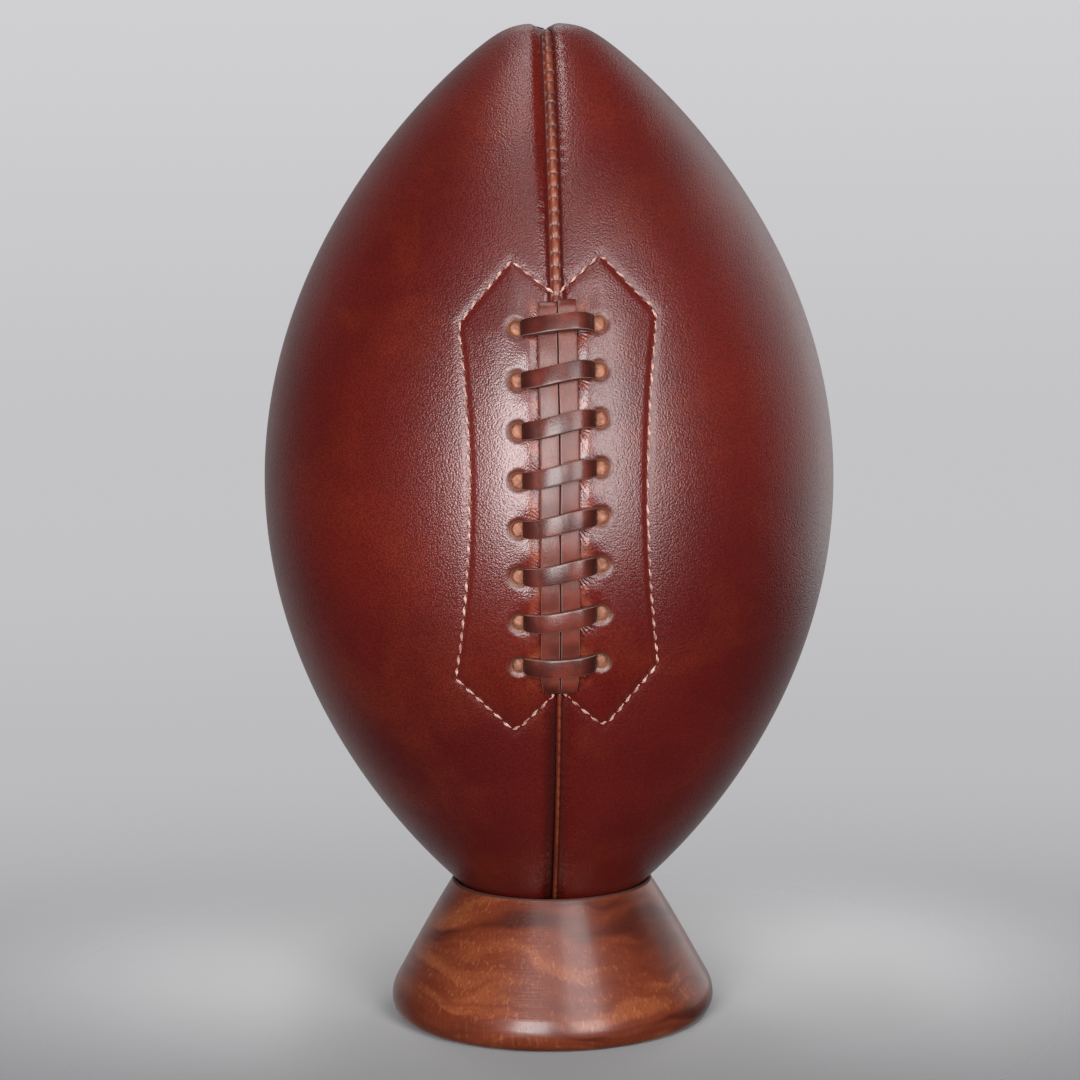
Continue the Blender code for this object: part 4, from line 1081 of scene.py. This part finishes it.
def stand_section():
    """Half of the stand's section, as radius and height: out along a hollow that follows the ball's
    end, over a narrow flat rim, down the cone, round the bead at the foot and in underneath. Also
    gives the row at the rim's outer edge."""
    mouth = 32.7
    t = -1 + (1 - station(mouth)) * np.linspace(0, 1, 26) ** 2
    clear = 0.3 + 1.8 * (1 - outline(t)[0] / mouth)
    radius, height = under(t, -clear)
    radius[0] = 0
    hollow = np.stack([np.maximum(radius, 0), MIDDLE + height], -1)
    turn = np.radians(np.linspace(0, 90, 6))
    rim = hollow[-1] + np.stack([0.25 + 0.5 * np.sin(turn), -0.5 + 0.5 * np.cos(turn)], -1)
    foot, widest = 54.7, 5.8  # the foot's radius, and the height at which it has it
    turn = np.radians(np.linspace(29, -90, 28))
    flat, tall = np.where(turn > 0, 12.0, 4.4), np.where(turn > 0, 12.0, widest)
    bead = np.stack([foot - flat * (1 - np.cos(turn)), widest + tall * np.sin(turn)], -1)
    cone = rim[-1] + (bead[0] - rim[-1]) * np.linspace(0, 1, 25)[1:-1, None] ** 1.4
    cone[:, 0] += 0.35 * np.sin(np.pi * np.linspace(0, 1, 23))
    section = np.concatenate([hollow, rim, cone, bead, [[25.0, 0.0], [0.0, 0.0]]])
    return section, len(hollow) + len(rim) - 1


section, rim_edge = stand_section()
turn = np.linspace(0, 2 * np.pi, 193)
radius, height = section[:, 0, None], section[:, 1, None]
points = np.stack([radius * np.cos(turn), radius * np.sin(turn), height + 0 * turn], -1)
run = run_along(section)
# inner marks the hollow, which takes painted shade.
inner = smooth(0.5, 0.1, run - run[rim_edge])[:, None]
stand = shape("turned_stand", points, (figured_wood(),), {"inner": inner}, closed=True)
fix(stand, "stand", "polished_wood", "stand")

# The studio. A pale floor with painted shade towards the camera, which fades into a paler ground,
# two tall soft boxes beside the camera and three wide ones above, a card at the right, softer light
# behind, and the camera in front of the lacing.

AIM = 0.18  # the lights face this height, in metres


def empty_tree(owner, coordinates):
    """The nodes of a material or of the world, cleared, and the place or direction that they read."""
    owner.use_nodes = True
    nodes = owner.node_tree.nodes
    nodes.clear()
    return nodes, Shade(nodes.new("ShaderNodeTexCoord").outputs[coordinates])


turn = np.linspace(0, 2 * np.pi, 65)
radius = np.linspace(0, 3000, 30)[:, None]
points = np.stack([radius * np.cos(turn), radius * np.sin(turn), -0.05 + 0 * radius * turn], -1)
floor_paper = bpy.data.materials.new("floor_paper")
nodes, place = empty_tree(floor_paper, "Object")
fade = place.node("VectorMath", {"operation": "LENGTH"}, {0: place}, "Value").ramp(0.09, 0.26)
glossy = Shade(nodes.new("ShaderNodeLightPath").outputs["Is Glossy Ray"])
fade = fade.maths("MAXIMUM", glossy)
# Painted shade: the floor darkens towards the camera.
near = place.along("Y").ramp(-0.16, 0.12)
grey = near.between((0.172, 0.172, 0.176), (0.460, 0.457, 0.464))
paper = place.node("BsdfDiffuse", (), {"Color": grey})
clear = place.node("BsdfTransparent")
whole = place.node("MixShader", (), {0: fade, 1: paper, 2: clear})
plug(nodes.new("ShaderNodeOutputMaterial").inputs["Surface"], whole)
floor = shape("floor", points, (floor_paper,))

# The camera sees the ground's greys, with painted shade that darkens them towards the bottom of the
# view, and the ball mirrors a dim room that is brighter behind it.
world = bpy.data.worlds.new("studio")
bpy.context.scene.world = world
nodes, look = empty_tree(world, "Generated")
up, ahead = look.along("Z"), look.along("Y")
# Painted shade: the ground darkens towards the bottom of the view.
close = ahead.ramp(0.80, 0.92).between((0.420, 0.417, 0.427), (0.275, 0.272, 0.280))
ground = up.ramp(-0.31, -0.20).between(close, (0.500, 0.496, 0.508))
ground = up.ramp(-0.215, -0.12).between(ground, (0.552, 0.547, 0.560))
ground = up.ramp(-0.11, 0.06).between(ground, (0.630, 0.625, 0.640))
rays = nodes.new("ShaderNodeLightPath").outputs
seen = (Shade(rays["Is Camera Ray"]) + Shade(rays["Is Transmission Ray"])).maths("MINIMUM", 1.0)
backdrop = look.node("Background", (), {"Color": ground, "Strength": 1.0})
room = ahead.ramp(0.45, 0.95).between((0.045, 0.045, 0.047), (0.40, 0.40, 0.41))
around = look.node("Background", (), {"Color": room, "Strength": 1.0})
sky = look.node("MixShader", (), {0: seen, 1: around, 2: backdrop})
plug(nodes.new("ShaderNodeOutputWorld").inputs["Surface"], sky)


def set_up(name, data, right, up, back, where):
    """Puts a lamp or the camera in its place, in metres, turned to these three directions of its own."""
    obj = bpy.data.objects.new(name, data)
    turned = np.eye(4)
    turned[:3] = np.stack([right, up, back, where], 1)
    obj.matrix_world = Matrix(turned.tolist())
    bpy.context.scene.collection.objects.link(obj)
    return obj


def soft_box(name, azimuth, elevation, distance, width, height, power, mirrored=True):
    """A lit rectangle that faces the ball's middle from this side, in degrees and metres. One that is
    not mirrored lights a surface but leaves no gleam on it."""
    lamp = bpy.data.lights.new(name, "AREA")
    lamp.shape, lamp.size, lamp.size_y, lamp.energy = "RECTANGLE", width, height, power
    a, e = np.radians(azimuth), np.radians(elevation)
    back = np.array([np.sin(a) * np.cos(e), -np.cos(a) * np.cos(e), np.sin(e)])
    right = np.array([np.cos(a), np.sin(a), 0])
    box = set_up(name, lamp, right, np.cross(back, right), back, back * distance + (0, 0, AIM))
    box.visible_camera, box.visible_glossy = False, mirrored


soft_box("left_soft_box", -17, 7.0, 1.30, 0.54, 0.90, 28.0)
soft_box("right_soft_box", 23, 7.5, 1.30, 0.54, 0.90, 17.0)
soft_box("top_soft_box", -90, 84, 1.15, 0.8, 0.12, 3.5)
soft_box("upper_soft_box", 5, 46, 1.25, 1.1, 0.36, 3.6)
soft_box("right_upper_soft_box", 24, 36, 1.25, 0.55, 0.34, 3.9)
soft_box("right_card", 128, 14, 0.9, 0.8, 1.0, 2.1)
soft_box("rear_left_fill", -150, 7, 1.4, 0.7, 0.9, 11.0, False)
soft_box("rear_right_fill", 150, 7, 1.4, 0.7, 0.9, 11.0, False)
soft_box("rear_soft_box", 180, 44, 1.4, 0.6, 0.3, 1.2)

yaw, pitch, roll = -0.03144, 0.13334, -0.00762  # of the camera, in radians
right = np.array([np.cos(yaw), np.sin(yaw), 0])
ahead = np.array([-np.sin(yaw) * np.cos(pitch), np.cos(yaw) * np.cos(pitch), -np.sin(pitch)])
top = np.cross(right, ahead)
across = right * np.cos(roll) + top * np.sin(roll)
upright = top * np.cos(roll) - right * np.sin(roll)
camera = bpy.data.cameras.new("camera")
camera.lens, camera.sensor_width = 100.16, 36.0
viewer = set_up("camera", camera, across, upright, -ahead, (-0.03453, -0.99794, 0.29527))
bpy.context.scene.camera = viewer
bpy.context.scene.view_settings.view_transform = "Standard"
